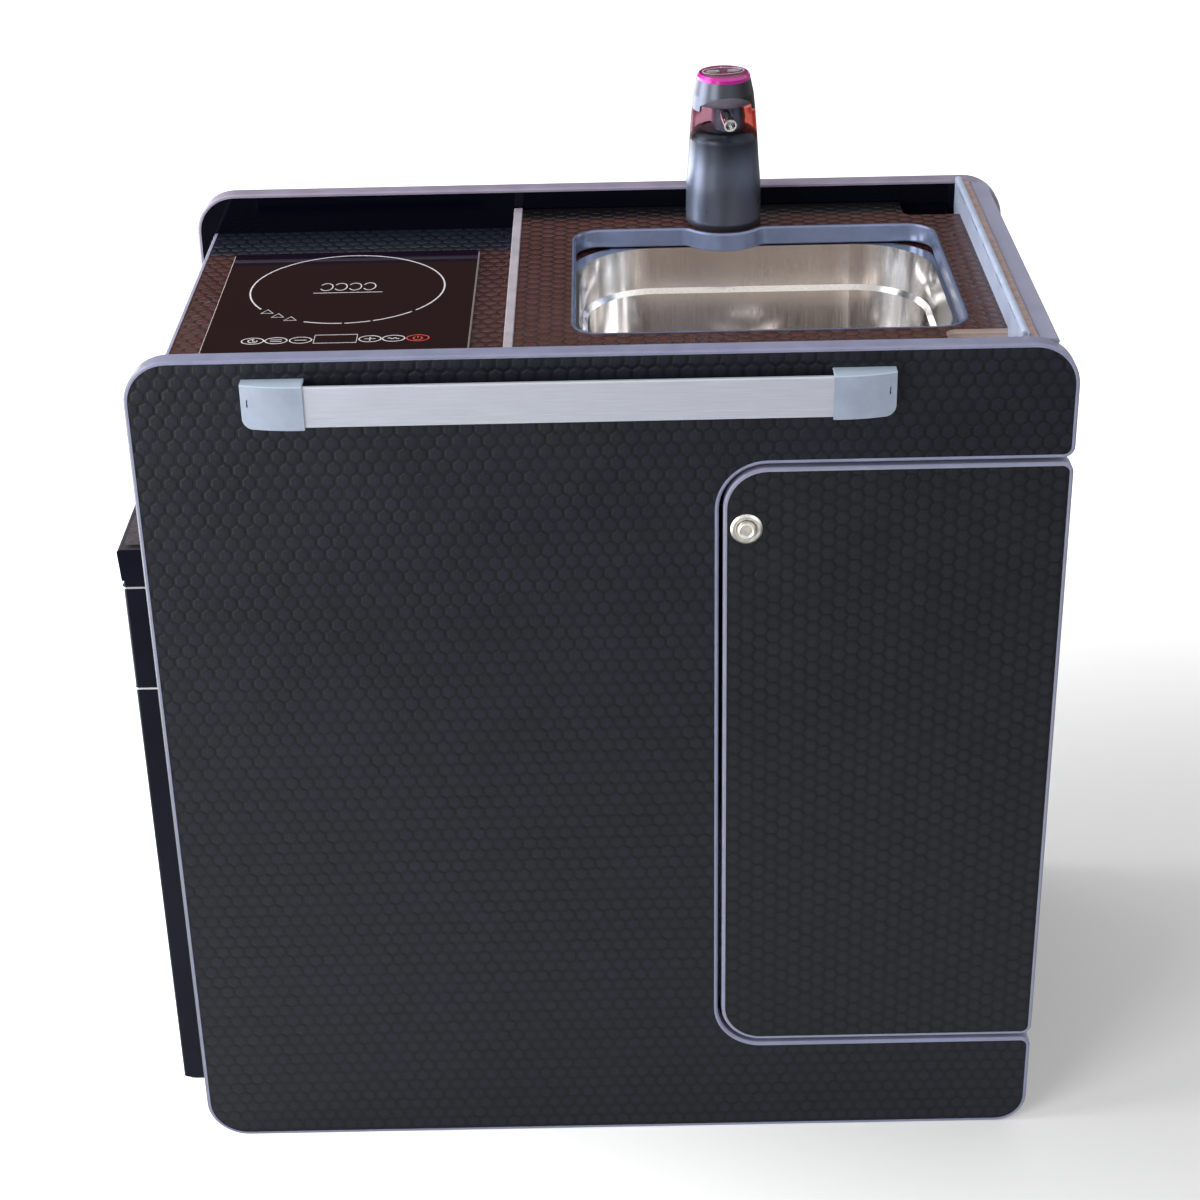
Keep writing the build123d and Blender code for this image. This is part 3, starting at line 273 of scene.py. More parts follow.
def hexSurface(tree, place, across, up, kind):
    settings = laminateSettings
    half = settings["pitch"] / 2
    groove = settings["groove"]
    reach, chance = hexCells(tree, place, across, up)
    rubbed = smooth(tree, noise(tree, place, settings["rubbedScale"]), 0.35, 0.62, 0.0, settings["rubbed"])
    inPad = maths(tree, "MAXIMUM", smooth(tree, reach, half - groove * 0.05, half - groove), rubbed)
    dome = smooth(tree, reach, half, 0.0)
    grain = noise(tree, place, settings["grainScale"], 4.0, 0.7)
    cloud = noise(tree, place, settings["cloudScale"], 4.0, 0.6)
    # Bright flecks on the pads: painted glints
    paintedGlints = smooth(tree, noise(tree, place, settings["glintScale"], 2.0, 0.6), 0.58, 0.74)
    # Pad colour: random tone plus a painted highlight that lightens each pad towards its middle
    lift = maths(tree, "MULTIPLY_ADD", dome, 0.5, maths(tree, "MULTIPLY", cloud, 0.6))
    lift = maths(tree, "MULTIPLY_ADD", chance, 0.3, lift)
    padColour = mixColour(tree, smooth(tree, lift, 0.15, 1.1), kind["base"], kind["pad"])
    glintColour = tuple(part * settings["glintBright"] for part in kind["pad"])
    glintAmount = maths(tree, "MULTIPLY", paintedGlints, settings["glintShare"])
    # The grooves take the groove colour: painted shade in the recesses
    colour = mixColour(tree, inPad, kind["groove"], mixColour(tree, glintAmount, padColour, glintColour))
    relief = maths(tree, "MULTIPLY_ADD", grain, 0.10, maths(tree, "MULTIPLY_ADD", dome, 0.5, inPad))
    mottle = maths(tree, "MULTIPLY_ADD", grain, 0.5, maths(tree, "MULTIPLY", cloud, 0.5))
    rough = smooth(
        tree, mottle, 0.3, 0.7, kind["rough"] - settings["smoother"], kind["rough"] + settings["rougher"])
    return colour, relief, rough, inPad


def plyEdge(tree, place, through):
    settings = laminateSettings
    depth = split(tree, place)[through]
    wave = maths(tree, "SINE", maths(tree, "MULTIPLY", depth, math.pi / settings["plyLayer"]))
    layers = maths(tree, "MULTIPLY", smooth(tree, wave, -0.5, 0.6), 1 - settings["plyFibre"])
    fibre = noise(tree, place, settings["fibreScale"], 4.0, 0.7)
    shade = maths(tree, "MULTIPLY_ADD", fibre, settings["plyFibre"], layers)
    return mixColour(tree, shade, settings["plyDark"], settings["plyLight"])


def makeLaminate(name, kindName, across, up, plainSide=0, shade=None):
    settings = laminateSettings
    kind = laminateKinds[kindName]
    material, tree, shader, place = startMaterial(
        name, kind["base"], kind["rough"], specular=kind["specular"])
    colour, relief, rough, inPad = hexSurface(tree, place, across, up, kind)
    through = [axis for axis in "XYZ" if axis not in (across, up)][0]
    turned = facing(tree, through)
    if plainSide:
        plain = maths(tree, "GREATER_THAN", maths(tree, "MULTIPLY", turned, plainSide), 0.5)
        colour = mixColour(tree, plain, colour, settings["plainColour"])
        relief = maths(tree, "MULTIPLY", relief, maths(tree, "SUBTRACT", 1.0, plain))
        rough = maths(tree, "MULTIPLY_ADD", plain, settings["plainRough"], rough)
    # Painted reflection of the dark rear panel, darkening pads and grooves in front of it
    if shade:
        near = smooth(tree, split(tree, place)["Y"], rearY - shade["from"], rearY - shade["to"])
        shaded = mixColour(tree, inPad, settings["paintedReflectionGroove"], shade["colour"])
        colour = mixColour(tree, near, colour, shaded)
    onEdge = maths(tree, "LESS_THAN", maths(tree, "ABSOLUTE", turned), 0.5)
    colour = mixColour(tree, onEdge, colour, plyEdge(tree, place, through))
    rough = maths(tree, "MAXIMUM", rough, maths(tree, "MULTIPLY", onEdge, settings["plyRough"]))
    relief = maths(tree, "MULTIPLY", relief, maths(tree, "SUBTRACT", 1.0, onEdge))
    paint(tree, shader, colour, rough)
    addBump(tree, shader, relief, 1.0, kind["relief"])
    return material


laminates = {
    "front": makeLaminate("blackLaminate", "black", "X", "Z"),
    "door": makeLaminate("blackLaminateDoor", "doorBlack", "Z", "X"),
    "rear": makeLaminate("blackLaminateRear", "rearBlack", "X", "Z", plainSide=-1),
    "side": makeLaminate("blackLaminateSide", "black", "Y", "Z"),
    "flatBlack": makeLaminate("blackLaminateFlat", "black", "X", "Y"),
    "deck": makeLaminate("deckLaminatePaintedBrown", "paintedBrown", "X", "Y", shade=paintedRearReflections["deck"]),
    "lid": makeLaminate("lidLaminatePaintedBrown", "paintedBrown", "Y", "X", shade=paintedRearReflections["lid"]),
}
print("laminates made")


# Plain finishes, each with its own clouding and fine grain. On some, faces that look one way take painted
# light or shade

finishSettings = {
    "trim": {
        "colour": (0.215, 0.225, 0.335), "other": (0.25, 0.26, 0.385), "scale": 40,
        # Faces that look left take painted shade, darker and greener
        "rough": (0.3, 0.4), "facing": ("X", -1, (0.105, 0.120, 0.135))},
    "doorTrim": {
        "colour": (0.235, 0.245, 0.345), "other": (0.27, 0.28, 0.385), "scale": 40, "rough": (0.3, 0.4)},
    # Pinker than the other trims: a painted reflection of a red-brown room
    "rearTrim": {
        "colour": (0.26, 0.23, 0.32), "other": (0.31, 0.27, 0.36), "scale": 40, "rough": (0.3, 0.4)},
    "boardTrim": {
        "colour": (0.31, 0.31, 0.43), "other": (0.35, 0.35, 0.48), "scale": 40, "rough": (0.32, 0.42)},
    "cutoutTrim": {
        "colour": (0.165, 0.205, 0.335), "other": (0.20, 0.245, 0.39), "scale": 40,
        "rough": (0.16, 0.24), "metallic": 0.35},
    "capPlastic": {
        "colour": (0.265, 0.31, 0.40), "other": (0.31, 0.36, 0.455), "scale": 50,
        # Faces that look up are painted lighter: painted light on the caps' tops
        "rough": (0.34, 0.46), "facing": ("Z", 1, (0.42, 0.50, 0.61))},
    "darkPlastic": {
        "colour": (0.02, 0.02, 0.022), "other": (0.03, 0.03, 0.033), "scale": 90, "rough": (0.4, 0.55)},
    "rubber": {
        "colour": (0.018, 0.018, 0.019), "other": (0.03, 0.03, 0.03), "scale": 120, "rough": (0.6, 0.75)},
    "whiteLiner": {
        "colour": (0.60, 0.615, 0.63), "other": (0.63, 0.645, 0.66), "scale": 20, "rough": (0.34, 0.42)},
    "whiteWire": {
        "colour": (0.68, 0.69, 0.70), "other": (0.74, 0.74, 0.75), "scale": 50, "rough": (0.3, 0.4)},
    "tankPlastic": {
        "colour": (0.60, 0.66, 0.68), "other": (0.70, 0.74, 0.75), "scale": 16, "rough": (0.35, 0.5)},
    "capBlue": {
        "colour": (0.02, 0.09, 0.28), "other": (0.03, 0.12, 0.33), "scale": 60, "rough": (0.35, 0.45)},
    "tapBody": {
        "colour": (0.060, 0.066, 0.088), "other": (0.068, 0.075, 0.100), "scale": 90,
        "rough": (0.28, 0.34), "metallic": 0.75},
    "tapCollar": {
        "colour": (0.13, 0.115, 0.15), "other": (0.155, 0.14, 0.175), "scale": 90, "rough": (0.3, 0.4)},
    "ringMagenta": {
        "colour": (0.45, 0.004, 0.22), "other": (0.56, 0.012, 0.34), "scale": 90,
        # Faces that look left take a paler violet: a painted highlight
        "rough": (0.14, 0.2), "coat": 0.5, "facing": ("X", -1, (0.62, 0.020, 0.48))},
    "touchPlate": {
        "colour": (0.16, 0.035, 0.075), "other": (0.22, 0.05, 0.10), "scale": 60, "rough": (0.2, 0.3)},
    "touchKey": {
        "colour": (0.09, 0.06, 0.085), "other": (0.13, 0.085, 0.115), "scale": 200, "rough": (0.25, 0.35)},
    "fridgeGloss": {
        "colour": (0.0025, 0.0032, 0.0095), "other": (0.0050, 0.0060, 0.0150), "scale": 12,
        # Faces that look up are painted lighter: a painted sheen on the gloss
        "rough": (0.08, 0.14), "specular": 0.12, "facing": ("Z", 1, (0.066, 0.060, 0.072))},
    "fridgeShell": {
        "colour": (0.080, 0.070, 0.081), "other": (0.094, 0.083, 0.096), "scale": 30,
        "rough": (0.2, 0.34)},
    "compressorPaint": {
        "colour": (0.012, 0.012, 0.012), "other": (0.02, 0.02, 0.02), "scale": 40, "rough": (0.3, 0.45)},
    "packerPly": {
        "colour": (0.33, 0.21, 0.195), "other": (0.48, 0.37, 0.36), "scale": 120, "rough": (0.5, 0.65)},
    "cappingSatin": {
        "colour": (0.46, 0.42, 0.48), "other": (0.53, 0.49, 0.55), "scale": 60,
        "rough": (0.32, 0.42), "metallic": 0.3},
    "hingeSatin": {
        "colour": (0.40, 0.47, 0.64), "other": (0.47, 0.54, 0.70), "scale": 60, "rough": (0.28, 0.4)},
    "whitePrint": {
        "colour": (0.62, 0.60, 0.64), "other": (0.74, 0.72, 0.76), "scale": 300, "rough": (0.4, 0.5)},
    "redPrint": {
        "colour": (0.62, 0.06, 0.04), "other": (0.74, 0.09, 0.06), "scale": 300, "rough": (0.4, 0.5)},
}
finishGrain = {"finer": 12, "strength": 0.12, "depth": 0.00008}


def makeFinish(name):
    settings = finishSettings[name]
    material, tree, shader, place = startMaterial(
        name, settings["colour"], settings["rough"][0], settings.get("metallic", 0.0),
        settings.get("specular", 0.5), settings.get("coat", 0.0))
    cloud = smooth(tree, noise(tree, place, settings["scale"], 5.0, 0.6), 0.28, 0.72)
    body = mixColour(tree, cloud, settings["colour"], settings["other"])
    # Faces that look one way take another colour: painted light or shade
    if "facing" in settings:
        axis, sign, colour = settings["facing"]
        turned = maths(tree, "MULTIPLY", facing(tree, axis), sign)
        body = mixColour(tree, smooth(tree, turned, 0.3, 0.7), body, colour)
    paint(tree, shader, body, smooth(tree, cloud, 0.0, 1.0, *settings["rough"]))
    grain = noise(tree, place, settings["scale"] * finishGrain["finer"], 4.0)
    addBump(tree, shader, grain, finishGrain["strength"], finishGrain["depth"])
    return material


finishes = {name: makeFinish(name) for name in finishSettings}
print("plain finishes made")


# Metals, each with its grain drawn out one way

metalSettings = {
    "railAluminium": {
        "colour": (0.59, 0.615, 0.70), "rough": (0.30, 0.42), "stretch": (0.6, 60, 60), "scale": 40,
        "metallic": 0.45},
    "platedSteel": {
        "colour": (0.60, 0.61, 0.63), "rough": (0.25, 0.4), "stretch": (20, 1, 20), "scale": 60},
    "buttonNickel": {
        "colour": (0.78, 0.755, 0.69), "rough": (0.36, 0.46), "stretch": (1, 1, 1), "scale": 300},
    "satinNickel": {
        "colour": (0.86, 0.84, 0.79), "rough": (0.34, 0.44), "stretch": (1, 1, 1), "scale": 300},
    "chromePlate": {
        "colour": (0.86, 0.86, 0.87), "rough": (0.05, 0.1), "stretch": (1, 1, 1), "scale": 60},
    "brightStrip": {
        "colour": (0.80, 0.81, 0.83), "rough": (0.14, 0.22), "stretch": (40, 0.6, 40), "scale": 50},
    "coldPlate": {
        "colour": (0.68, 0.70, 0.71), "rough": (0.3, 0.45), "stretch": (1, 8, 1), "scale": 60},
}
metalGrain = {"darker": 0.84, "strength": 0.06, "depth": 0.00004}


def metalStreaks(tree, place, settings):
    return noise(tree, stretched(tree, place, settings["stretch"]), settings["scale"], 5.0, 0.65)


def closeMetal(tree, shader, colour, streaks, rough):
    paint(tree, shader, colour, smooth(tree, streaks, 0.25, 0.75, *rough))
    addBump(tree, shader, streaks, metalGrain["strength"], metalGrain["depth"])


def makeMetal(name):
    settings = metalSettings[name]
    material, tree, shader, place = startMaterial(
        name, settings["colour"], settings["rough"][0], settings.get("metallic", 1.0))
    streaks = metalStreaks(tree, place, settings)
    darker = tuple(part * metalGrain["darker"] for part in settings["colour"])
    body = mixColour(tree, smooth(tree, streaks, 0.3, 0.7), darker, settings["colour"])
    closeMetal(tree, shader, body, streaks, settings["rough"])
    return material


metals = {name: makeMetal(name) for name in metalSettings}


# The pan's colour holds a painted reflection: pale in its left wall, brown from the lid in its middle and
# darker in its right wall

panSettings = {
    "left": (0.97, 0.98, 1.0),
    "middle": (0.76, 0.71, 0.675),
    "right": (0.64, 0.64, 0.64),
    "wallsFrom": 0.095,  # from the pan's middle
    "wallsFull": 0.125,
    "waver": 0.03,
    "waverScale": 9,
    "streak": (0.12, 0.10, 0.10),
    "streakShare": 0.16,
    "stretch": (20, 20, 0.5),
    "scale": 40,
    "rough": (0.11, 0.22),
}


def makePan(settings):
    material, tree, shader, place = startMaterial(
        "panSteel", settings["middle"], settings["rough"][0], 1.0)
    streaks = metalStreaks(tree, place, settings)
    cloud = noise(tree, place, settings["waverScale"])
    shift = maths(tree, "MULTIPLY_ADD", cloud, settings["waver"], -settings["waver"] / 2)
    fromMiddle = maths(tree, "SUBTRACT", split(tree, place)["X"], middle("sink_pan", "X"))
    across = maths(tree, "ADD", shift, fromMiddle)
    walls = (settings["wallsFrom"], settings["wallsFull"])
    # Painted reflection across the pan, from pale on the left to darker on the right
    toLeft = smooth(tree, maths(tree, "MULTIPLY", across, -1.0), *walls)
    rightHalf = mixColour(tree, smooth(tree, across, *walls), settings["middle"], settings["right"])
    body = mixColour(tree, toLeft, rightHalf, settings["left"])
    streaked = maths(tree, "MULTIPLY", smooth(tree, streaks, 0.3, 0.7), settings["streakShare"])
    body = mixColour(tree, streaked, body, settings["streak"])
    closeMetal(tree, shader, body, streaks, settings["rough"])
    return material


metals["panSteel"] = makePan(panSettings)
print("metals made")


# Dark hob glass, its brown tone mostly a painted reflection of a brown room, with ground side edges
# painted pale as a highlight and a painted reflection of the rear panel in a band along its back

hobGlassSettings = {
    # A brown tone on black glass, mostly a painted reflection of a brown room
    "colour": (0.0175, 0.0070, 0.0074),
    "cloud": (0.0215, 0.0090, 0.0090),
    "cloudScale": 8,
    "rough": (0.03, 0.06),
    # Painted reflection of the rear panel in a band along the glass's back
    "band": (0.0080, 0.0042, 0.0110),
    "bandDeep": 0.031,
    "bandSoft": 0.001,
    # Ground side edges: rougher, and painted pale as a highlight
    "edge": (0.34, 0.31, 0.29),
    "edgeRough": 0.4,
    "edgeFrom": 0.35,
}


def makeHobGlass(settings):
    material, tree, shader, place = startMaterial("hobGlass", settings["colour"], 0.05, specular=0.12)
    cloud = noise(tree, place, settings["cloudScale"], 4.0)
    sideways = maths(tree, "ABSOLUTE", facing(tree, "X"))
    ground = maths(tree, "GREATER_THAN", sideways, settings["edgeFrom"])
    start = high("hob_glass", "Y") - settings["bandDeep"]
    inBand = smooth(tree, split(tree, place)["Y"], start, start + settings["bandSoft"])
    body = mixColour(tree, cloud, settings["colour"], settings["cloud"])
    # Painted reflection of the rear panel
    body = mixColour(tree, inBand, body, settings["band"])
    # Painted highlight on the ground side edges
    body = mixColour(tree, ground, body, settings["edge"])
    glossy = smooth(tree, cloud, 0.3, 0.7, *settings["rough"])
    paint(tree, shader, body, maths(tree, "MULTIPLY_ADD", ground, settings["edgeRough"], glossy))
    return material


hobGlass = makeHobGlass(hobGlassSettings)


# The tap's sleeve: clear at its front, and behind its middle a painted colour, wine on the left to red on
# the right, for the reddish room seen through it

sleeveSettings = {
    "clear": (0.93, 0.93, 0.95),
    "left": (0.34, 0.15, 0.20),
    "right": (0.40, 0.075, 0.055),
    "paintedRoomFrom": -0.014,  # behind the tap's middle
    "paintedRoomFull": -0.008,
    "leftOf": -0.012,  # to the right of it
    "rightOf": 0.016,
    "waver": 0.003,
    "waverScale": 60,
    "rough": 0.06,
    "bend": 1.06,
}


def makeSleeve(settings):
    material, tree, shader, place = startMaterial(
        "smokedSleeve", settings["clear"], settings["rough"], specular=0.4)
    shader.inputs["Transmission Weight"].default_value = 1.0
    shader.inputs["IOR"].default_value = settings["bend"]
    parts = split(tree, place)
    fromMiddle = maths(tree, "SUBTRACT", parts["Y"], tapY)
    cloud = noise(tree, place, settings["waverScale"])
    behind = maths(tree, "MULTIPLY_ADD", cloud, settings["waver"], fromMiddle)
    # Painted colour behind the tap's middle, for the reddish room seen through the sleeve
    paintedRoomShare = smooth(tree, behind, settings["paintedRoomFrom"], settings["paintedRoomFull"])
    sideways = maths(tree, "SUBTRACT", parts["X"], tapX)
    toRight = smooth(tree, sideways, settings["leftOf"], settings["rightOf"])
    paintedRoom = mixColour(tree, toRight, settings["left"], settings["right"])
    body = mixColour(tree, paintedRoomShare, settings["clear"], paintedRoom)
    tree.links.new(body, shader.inputs["Base Color"])
    return material


tapSleeve = makeSleeve(sleeveSettings)


# Dark satin metal of the tap's shell and cap, with a painted highlight on faces that look left. The shell
# darkens upwards, between two heights above the lid, and the cap takes painted shade towards its right

tapMetalSettings = {
    "tapShell": {
        "colour": (0.100, 0.112, 0.150), "pale": (0.115, 0.128, 0.170), "lit": (0.24, 0.285, 0.40),
        "dark": (0.016, 0.019, 0.028), "metallic": 0.75, "rough": (0.27, 0.33), "scale": 90,
        "litFrom": -0.45, "litFull": -0.80, "upwards": (0.0515, 0.0835), "waver": 0.004},
    "tapCap": {
        "colour": (0.056, 0.062, 0.080), "pale": (0.066, 0.073, 0.094), "lit": (0.15, 0.165, 0.225),
        "dark": (0.014, 0.014, 0.017), "metallic": 0.8, "rough": (0.30, 0.36), "scale": 90,
        "litFrom": -0.50, "litFull": -0.85, "rightwards": (0.05, 0.75),
        "grain": {"scale": 900, "strength": 0.06, "depth": 0.0001}},
}


def makeTapMetal(name):
    settings = tapMetalSettings[name]
    material, tree, shader, place = startMaterial(
        name, settings["colour"], settings["rough"][0], settings["metallic"])
    cloud = noise(tree, place, settings["scale"])
    aside = facing(tree, "X")
    full = mixColour(tree, cloud, settings["colour"], settings["pale"])
    # Painted highlight on faces that look left
    lit = smooth(tree, aside, settings["litFrom"], settings["litFull"])
    body = mixColour(tree, lit, full, settings["lit"])
    if "upwards" in settings:
        start, end = settings["upwards"]
        height = maths(tree, "MULTIPLY_ADD", cloud, settings["waver"], split(tree, place)["Z"])
        dark = smooth(tree, height, lidZ + start, lidZ + end)
    else:
        # Painted shade on the cap's faces that look right
        dark = smooth(tree, aside, *settings["rightwards"])
    body = mixColour(tree, dark, body, settings["dark"])
    paint(tree, shader, body, smooth(tree, cloud, 0.2, 0.8, *settings["rough"]))
    if "grain" in settings:
        grain = settings["grain"]
        addBump(tree, shader, noise(tree, place, grain["scale"], 2.0), grain["strength"], grain["depth"])
    return material


tapMetals = {name: makeTapMetal(name) for name in tapMetalSettings}
print("hob glass, tap sleeve and tap metals made")


# Bare ply for the battens

battenSettings = {"rough": 0.6, "stretch": (30, 2, 30), "scale": 20, "strength": 0.2, "depth": 0.0002}


def makePly(settings):
    light = laminateSettings["plyLight"]
    dark = laminateSettings["plyDark"]
    material, tree, shader, place = startMaterial("barePly", light, settings["rough"])
    grain = noise(tree, stretched(tree, place, settings["stretch"]), settings["scale"], 5.0, 0.6)
    body = mixColour(tree, smooth(tree, grain, 0.3, 0.7), dark, light)
    tree.links.new(body, shader.inputs["Base Color"])
    addBump(tree, shader, grain, settings["strength"], settings["depth"])
    return material


# The fridge's hinge plates: painted dark at the top, plated at the foot

hingePlateSettings = {
    "painted": (0.068, 0.058, 0.068),
    "paintedPale": (0.092, 0.079, 0.092),
    "plated": (0.62, 0.63, 0.65),
    "platedPale": (0.74, 0.75, 0.77),
    "platedBelow": 0.35,
    "stretch": (4, 30, 4),
    "scale": 40,
    "rough": (0.26, 0.38),
}


def makeHingePlates(settings):
    material, tree, shader, place = startMaterial(
        "hingePlates", settings["painted"], settings["rough"][0])
    foot = maths(tree, "LESS_THAN", split(tree, place)["Z"], settings["platedBelow"])
    streaks = noise(tree, stretched(tree, place, settings["stretch"]), settings["scale"], 4.0)
    cloud = smooth(tree, streaks, 0.3, 0.7)
    painted = mixColour(tree, cloud, settings["painted"], settings["paintedPale"])
    plated = mixColour(tree, cloud, settings["plated"], settings["platedPale"])
    tree.links.new(foot, shader.inputs["Metallic"])
    body = mixColour(tree, foot, painted, plated)
    paint(tree, shader, body, smooth(tree, cloud, 0.0, 1.0, *settings["rough"]))
    return material


# Every CAD piece gets its finish

dressing = {
    laminates["front"]: ["front_panel"],
    laminates["door"]: ["door_board"],
    laminates["rear"]: ["rear_panel"],
    laminates["side"]: ["right_side_board", "left_fascia_board", "divider_wall"],
    laminates["deck"]: ["worktop_board"],
    laminates["lid"]: ["lid_board"],
    laminates["flatBlack"]: ["base_board"],
    makePly(battenSettings): ["battens"],
    finishes["packerPly"]: ["hinge_packer"],
    finishes["trim"]: ["front_panel_trim"],
    finishes["rearTrim"]: ["rear_panel_trim"],
    finishes["boardTrim"]: ["board_edge_trims"],
    finishes["doorTrim"]: ["door_trim"],
    finishes["cutoutTrim"]: ["lid_cutout_trim"],
    finishes["capPlastic"]: ["rail_caps"],
    finishes["darkPlastic"]: ["hob_case", "lock_case", "strike_plate"],
    finishes["rubber"]: ["lid_bumpers", "fridge_door_gasket"],
    finishes["whiteLiner"]: [
        "fridge_liner", "thermostat_housing", "thermostat_knob", "fridge_door_liner", "fridge_door_racks"],
    finishes["whiteWire"]: ["fridge_shelves"],
    finishes["tankPlastic"]: ["water_containers"],
    finishes["capBlue"]: ["container_caps"],
    finishes["tapBody"]: ["tap_base", "tap_body"],
    tapMetals["tapCap"]: ["tap_cap"],
    finishes["ringMagenta"]: ["tap_ring"],
    finishes["touchPlate"]: ["tap_touch_plate"],
    finishes["touchKey"]: ["tap_button_left", "tap_button_right"],
    finishes["fridgeGloss"]: ["fridge_door_panels", "fridge_door_handle"],
    finishes["fridgeShell"]: ["fridge_case"],
    finishes["compressorPaint"]: ["fridge_compressor"],
    finishes["cappingSatin"]: ["lid_edge_capping"],
    finishes["hingeSatin"]: ["lid_hinge_moving_leaf", "lid_hinge_fixed_leaf"],
    metals["panSteel"]: ["sink_pan"],
    metals["chromePlate"]: ["sink_drain", "tap_outlet", "hinge_pins"],
    metals["railAluminium"]: ["table_rail"],
    metals["brightStrip"]: ["fridge_door_strips"],
    makeHingePlates(hingePlateSettings): ["fridge_hinge_plates"],
    metals["platedSteel"]: [
        "lock_bolt", "door_hinge_fixed_leaves", "door_hinge_moving_leaves", "hinge_screws"],
    metals["satinNickel"]: ["lock_rosette"],
    metals["buttonNickel"]: ["lock_button"],
    metals["coldPlate"]: ["fridge_evaporator"],
    hobGlass: ["hob_glass"],
    tapSleeve: ["tap_sleeve"],
}

for material, names in dressing.items():
    for name in names:
        for materialSlot in nodes[name].material_slots:
            materialSlot.material = material
dressed = {name for names in dressing.values() for name in names}
print("undressed:", sorted(set(nodes) - dressed))


# Flat printed marks, cut from outlines and lifted just clear of what they are printed on

def finishPiece(name, mesh, material, body):
    piece = bpy.data.objects.new(name, mesh)
    bpy.context.scene.collection.objects.link(piece)
    mesh.materials.clear()
    mesh.materials.append(material)
    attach(piece, body)
    return piece


# A flat band of even width along points, closed into a loop or with its two ends capped
def bandMesh(bm, points, width, z, thick, closed=True):
    count = len(points)
    sides = []
    for i, (x, y) in enumerate(points):
        before = points[i - 1] if closed or i else points[i]
        after = points[(i + 1) % count] if closed or i < count - 1 else points[i]
        run = Vector((after[0] - before[0], after[1] - before[1])).normalized()
        across = Vector((-run.y, run.x)) * width / 2
        ring = []
        for side, height in ((1, 0), (-1, 0), (-1, thick), (1, thick)):
            ring.append(bm.verts.new((x + across.x * side, y + across.y * side, z + height)))
        sides.append(ring)
    pairs = zip(sides, sides[1:] + sides[:1]) if closed else zip(sides, sides[1:])
    for a, b in pairs:
        for j in range(4):
            bm.faces.new((a[j], b[j], b[(j + 1) % 4], a[(j + 1) % 4]))
    if not closed:
        bm.faces.new(sides[0])
        bm.faces.new(sides[-1][::-1])


def arcPoints(x, y, radiusX, radiusY, start, end, count):
    steps = count if abs(end - start) >= 360 else count - 1
    turns = [math.radians(start + (end - start) * i / steps) for i in range(count)]
    return [(x + radiusX * math.cos(turn), y + radiusY * math.sin(turn)) for turn in turns]


def closeMarks(bm, name, material, body, place=None):
    mesh = bpy.data.meshes.new(name)
    bmesh.ops.recalc_face_normals(bm, faces=bm.faces)
    bm.to_mesh(mesh)
    bm.free()
    if place:
        mesh.transform(place)
    return finishPiece(name, mesh, finishes[material], body)


# Marks on the hob: a broken ring with arrows on it and open loops over a line in it, and a row of
# signs in ovals with a display between them. Places are from the pod's middle and its front face

hobMarks = {
    "lift": 0.00005,
    "thick": 0.00008,
    "line": 0.00095,
    "ring": {"right": -0.2113, "back": 0.2363, "radius": 0.08125, "line": 0.0013},
    "ringArcs": ((-42, 214, 100), (249, 271.5, 10), (273, 288, 8), (289.5, 315, 12)),
    "arrows": {"count": 3, "first": 221, "step": 9.5, "half": 0.005, "foot": 0.002, "tip": 0.0065},
    "loops": {
        "count": 4, "first": -0.018, "step": 0.012, "up": 0.004, "wide": 0.0052, "deep": 0.0085,
        "open": 150, "points": 18},
    "underline": {"left": -0.028, "right": 0.030, "down": 0.010},
    "rowBack": 0.1195,
    "signs": (-0.2770, -0.2583, -0.2387, -0.1834, -0.1646, -0.1453),
    "redSign": 5,
    "ovalWide": 0.0088,
    "ovalDeep": 0.0066,
    "ovalPoints": 40,
    "display": {"left": -0.2280, "right": -0.1940, "half": 0.0088, "up": 0.0015},
}


def hobSigns():  # the strokes of each sign, from its own middle
    wave = [(-0.0045 + i * 0.001, 0.0016 * math.sin(i * 1.4)) for i in range(10)]
    clock = [arcPoints(0, 0, 0.0036, 0.0036, 70, 380, 14), [(0, 0.0024), (0, 0), (0.0020, -0.0006)]]
    lines = [[(-0.0046, 0.0018), (0.0046, 0.0018)], [(-0.0046, -0.0018), (0.0046, -0.0018)]]
    minus = [[(-0.0048, 0), (0.0048, 0)]]
    plus = [[(-0.0046, 0), (0.0046, 0)], [(0, -0.0040), (0, 0.0040)]]
    power = [arcPoints(0, -0.0006, 0.0036, 0.0034, 125, 415, 16), [(0, 0.0040), (0, 0.0002)]]
    return [clock, lines, minus, plus, [wave], power]


def drawHobRing(bm, settings, z):
    ring = settings["ring"]
    x = podX + ring["right"]
    y = frontY + ring["back"]
    radius = ring["radius"]
    thick = settings["thick"]
    line = settings["line"]
    for start, end, count in settings["ringArcs"]:
        bandMesh(bm, arcPoints(x, y, radius, radius, start, end, count), ring["line"], z, thick, False)
    arrow = settings["arrows"]
    for i in range(arrow["count"]):
        turn = math.radians(arrow["first"] + i * arrow["step"])
        tipX = x + radius * math.cos(turn)
        onRing = y + radius * math.sin(turn)
        left = (tipX - arrow["half"], onRing - arrow["foot"])
        right = (tipX + arrow["half"], onRing - arrow["foot"])
        bandMesh(bm, [left, (tipX, onRing + arrow["tip"]), right], line, z, thick)
    loop = settings["loops"]
    for i in range(loop["count"]):
        loopX = x + loop["first"] + i * loop["step"]
        points = arcPoints(
            loopX, y + loop["up"], loop["wide"], loop["deep"], -loop["open"], loop["open"], loop["points"])
        bandMesh(bm, points, line, z, thick, False)
    under = settings["underline"]
    ends = [(x + under["left"], y - under["down"]), (x + under["right"], y - under["down"])]
    bandMesh(bm, ends, line, z, thick, False)


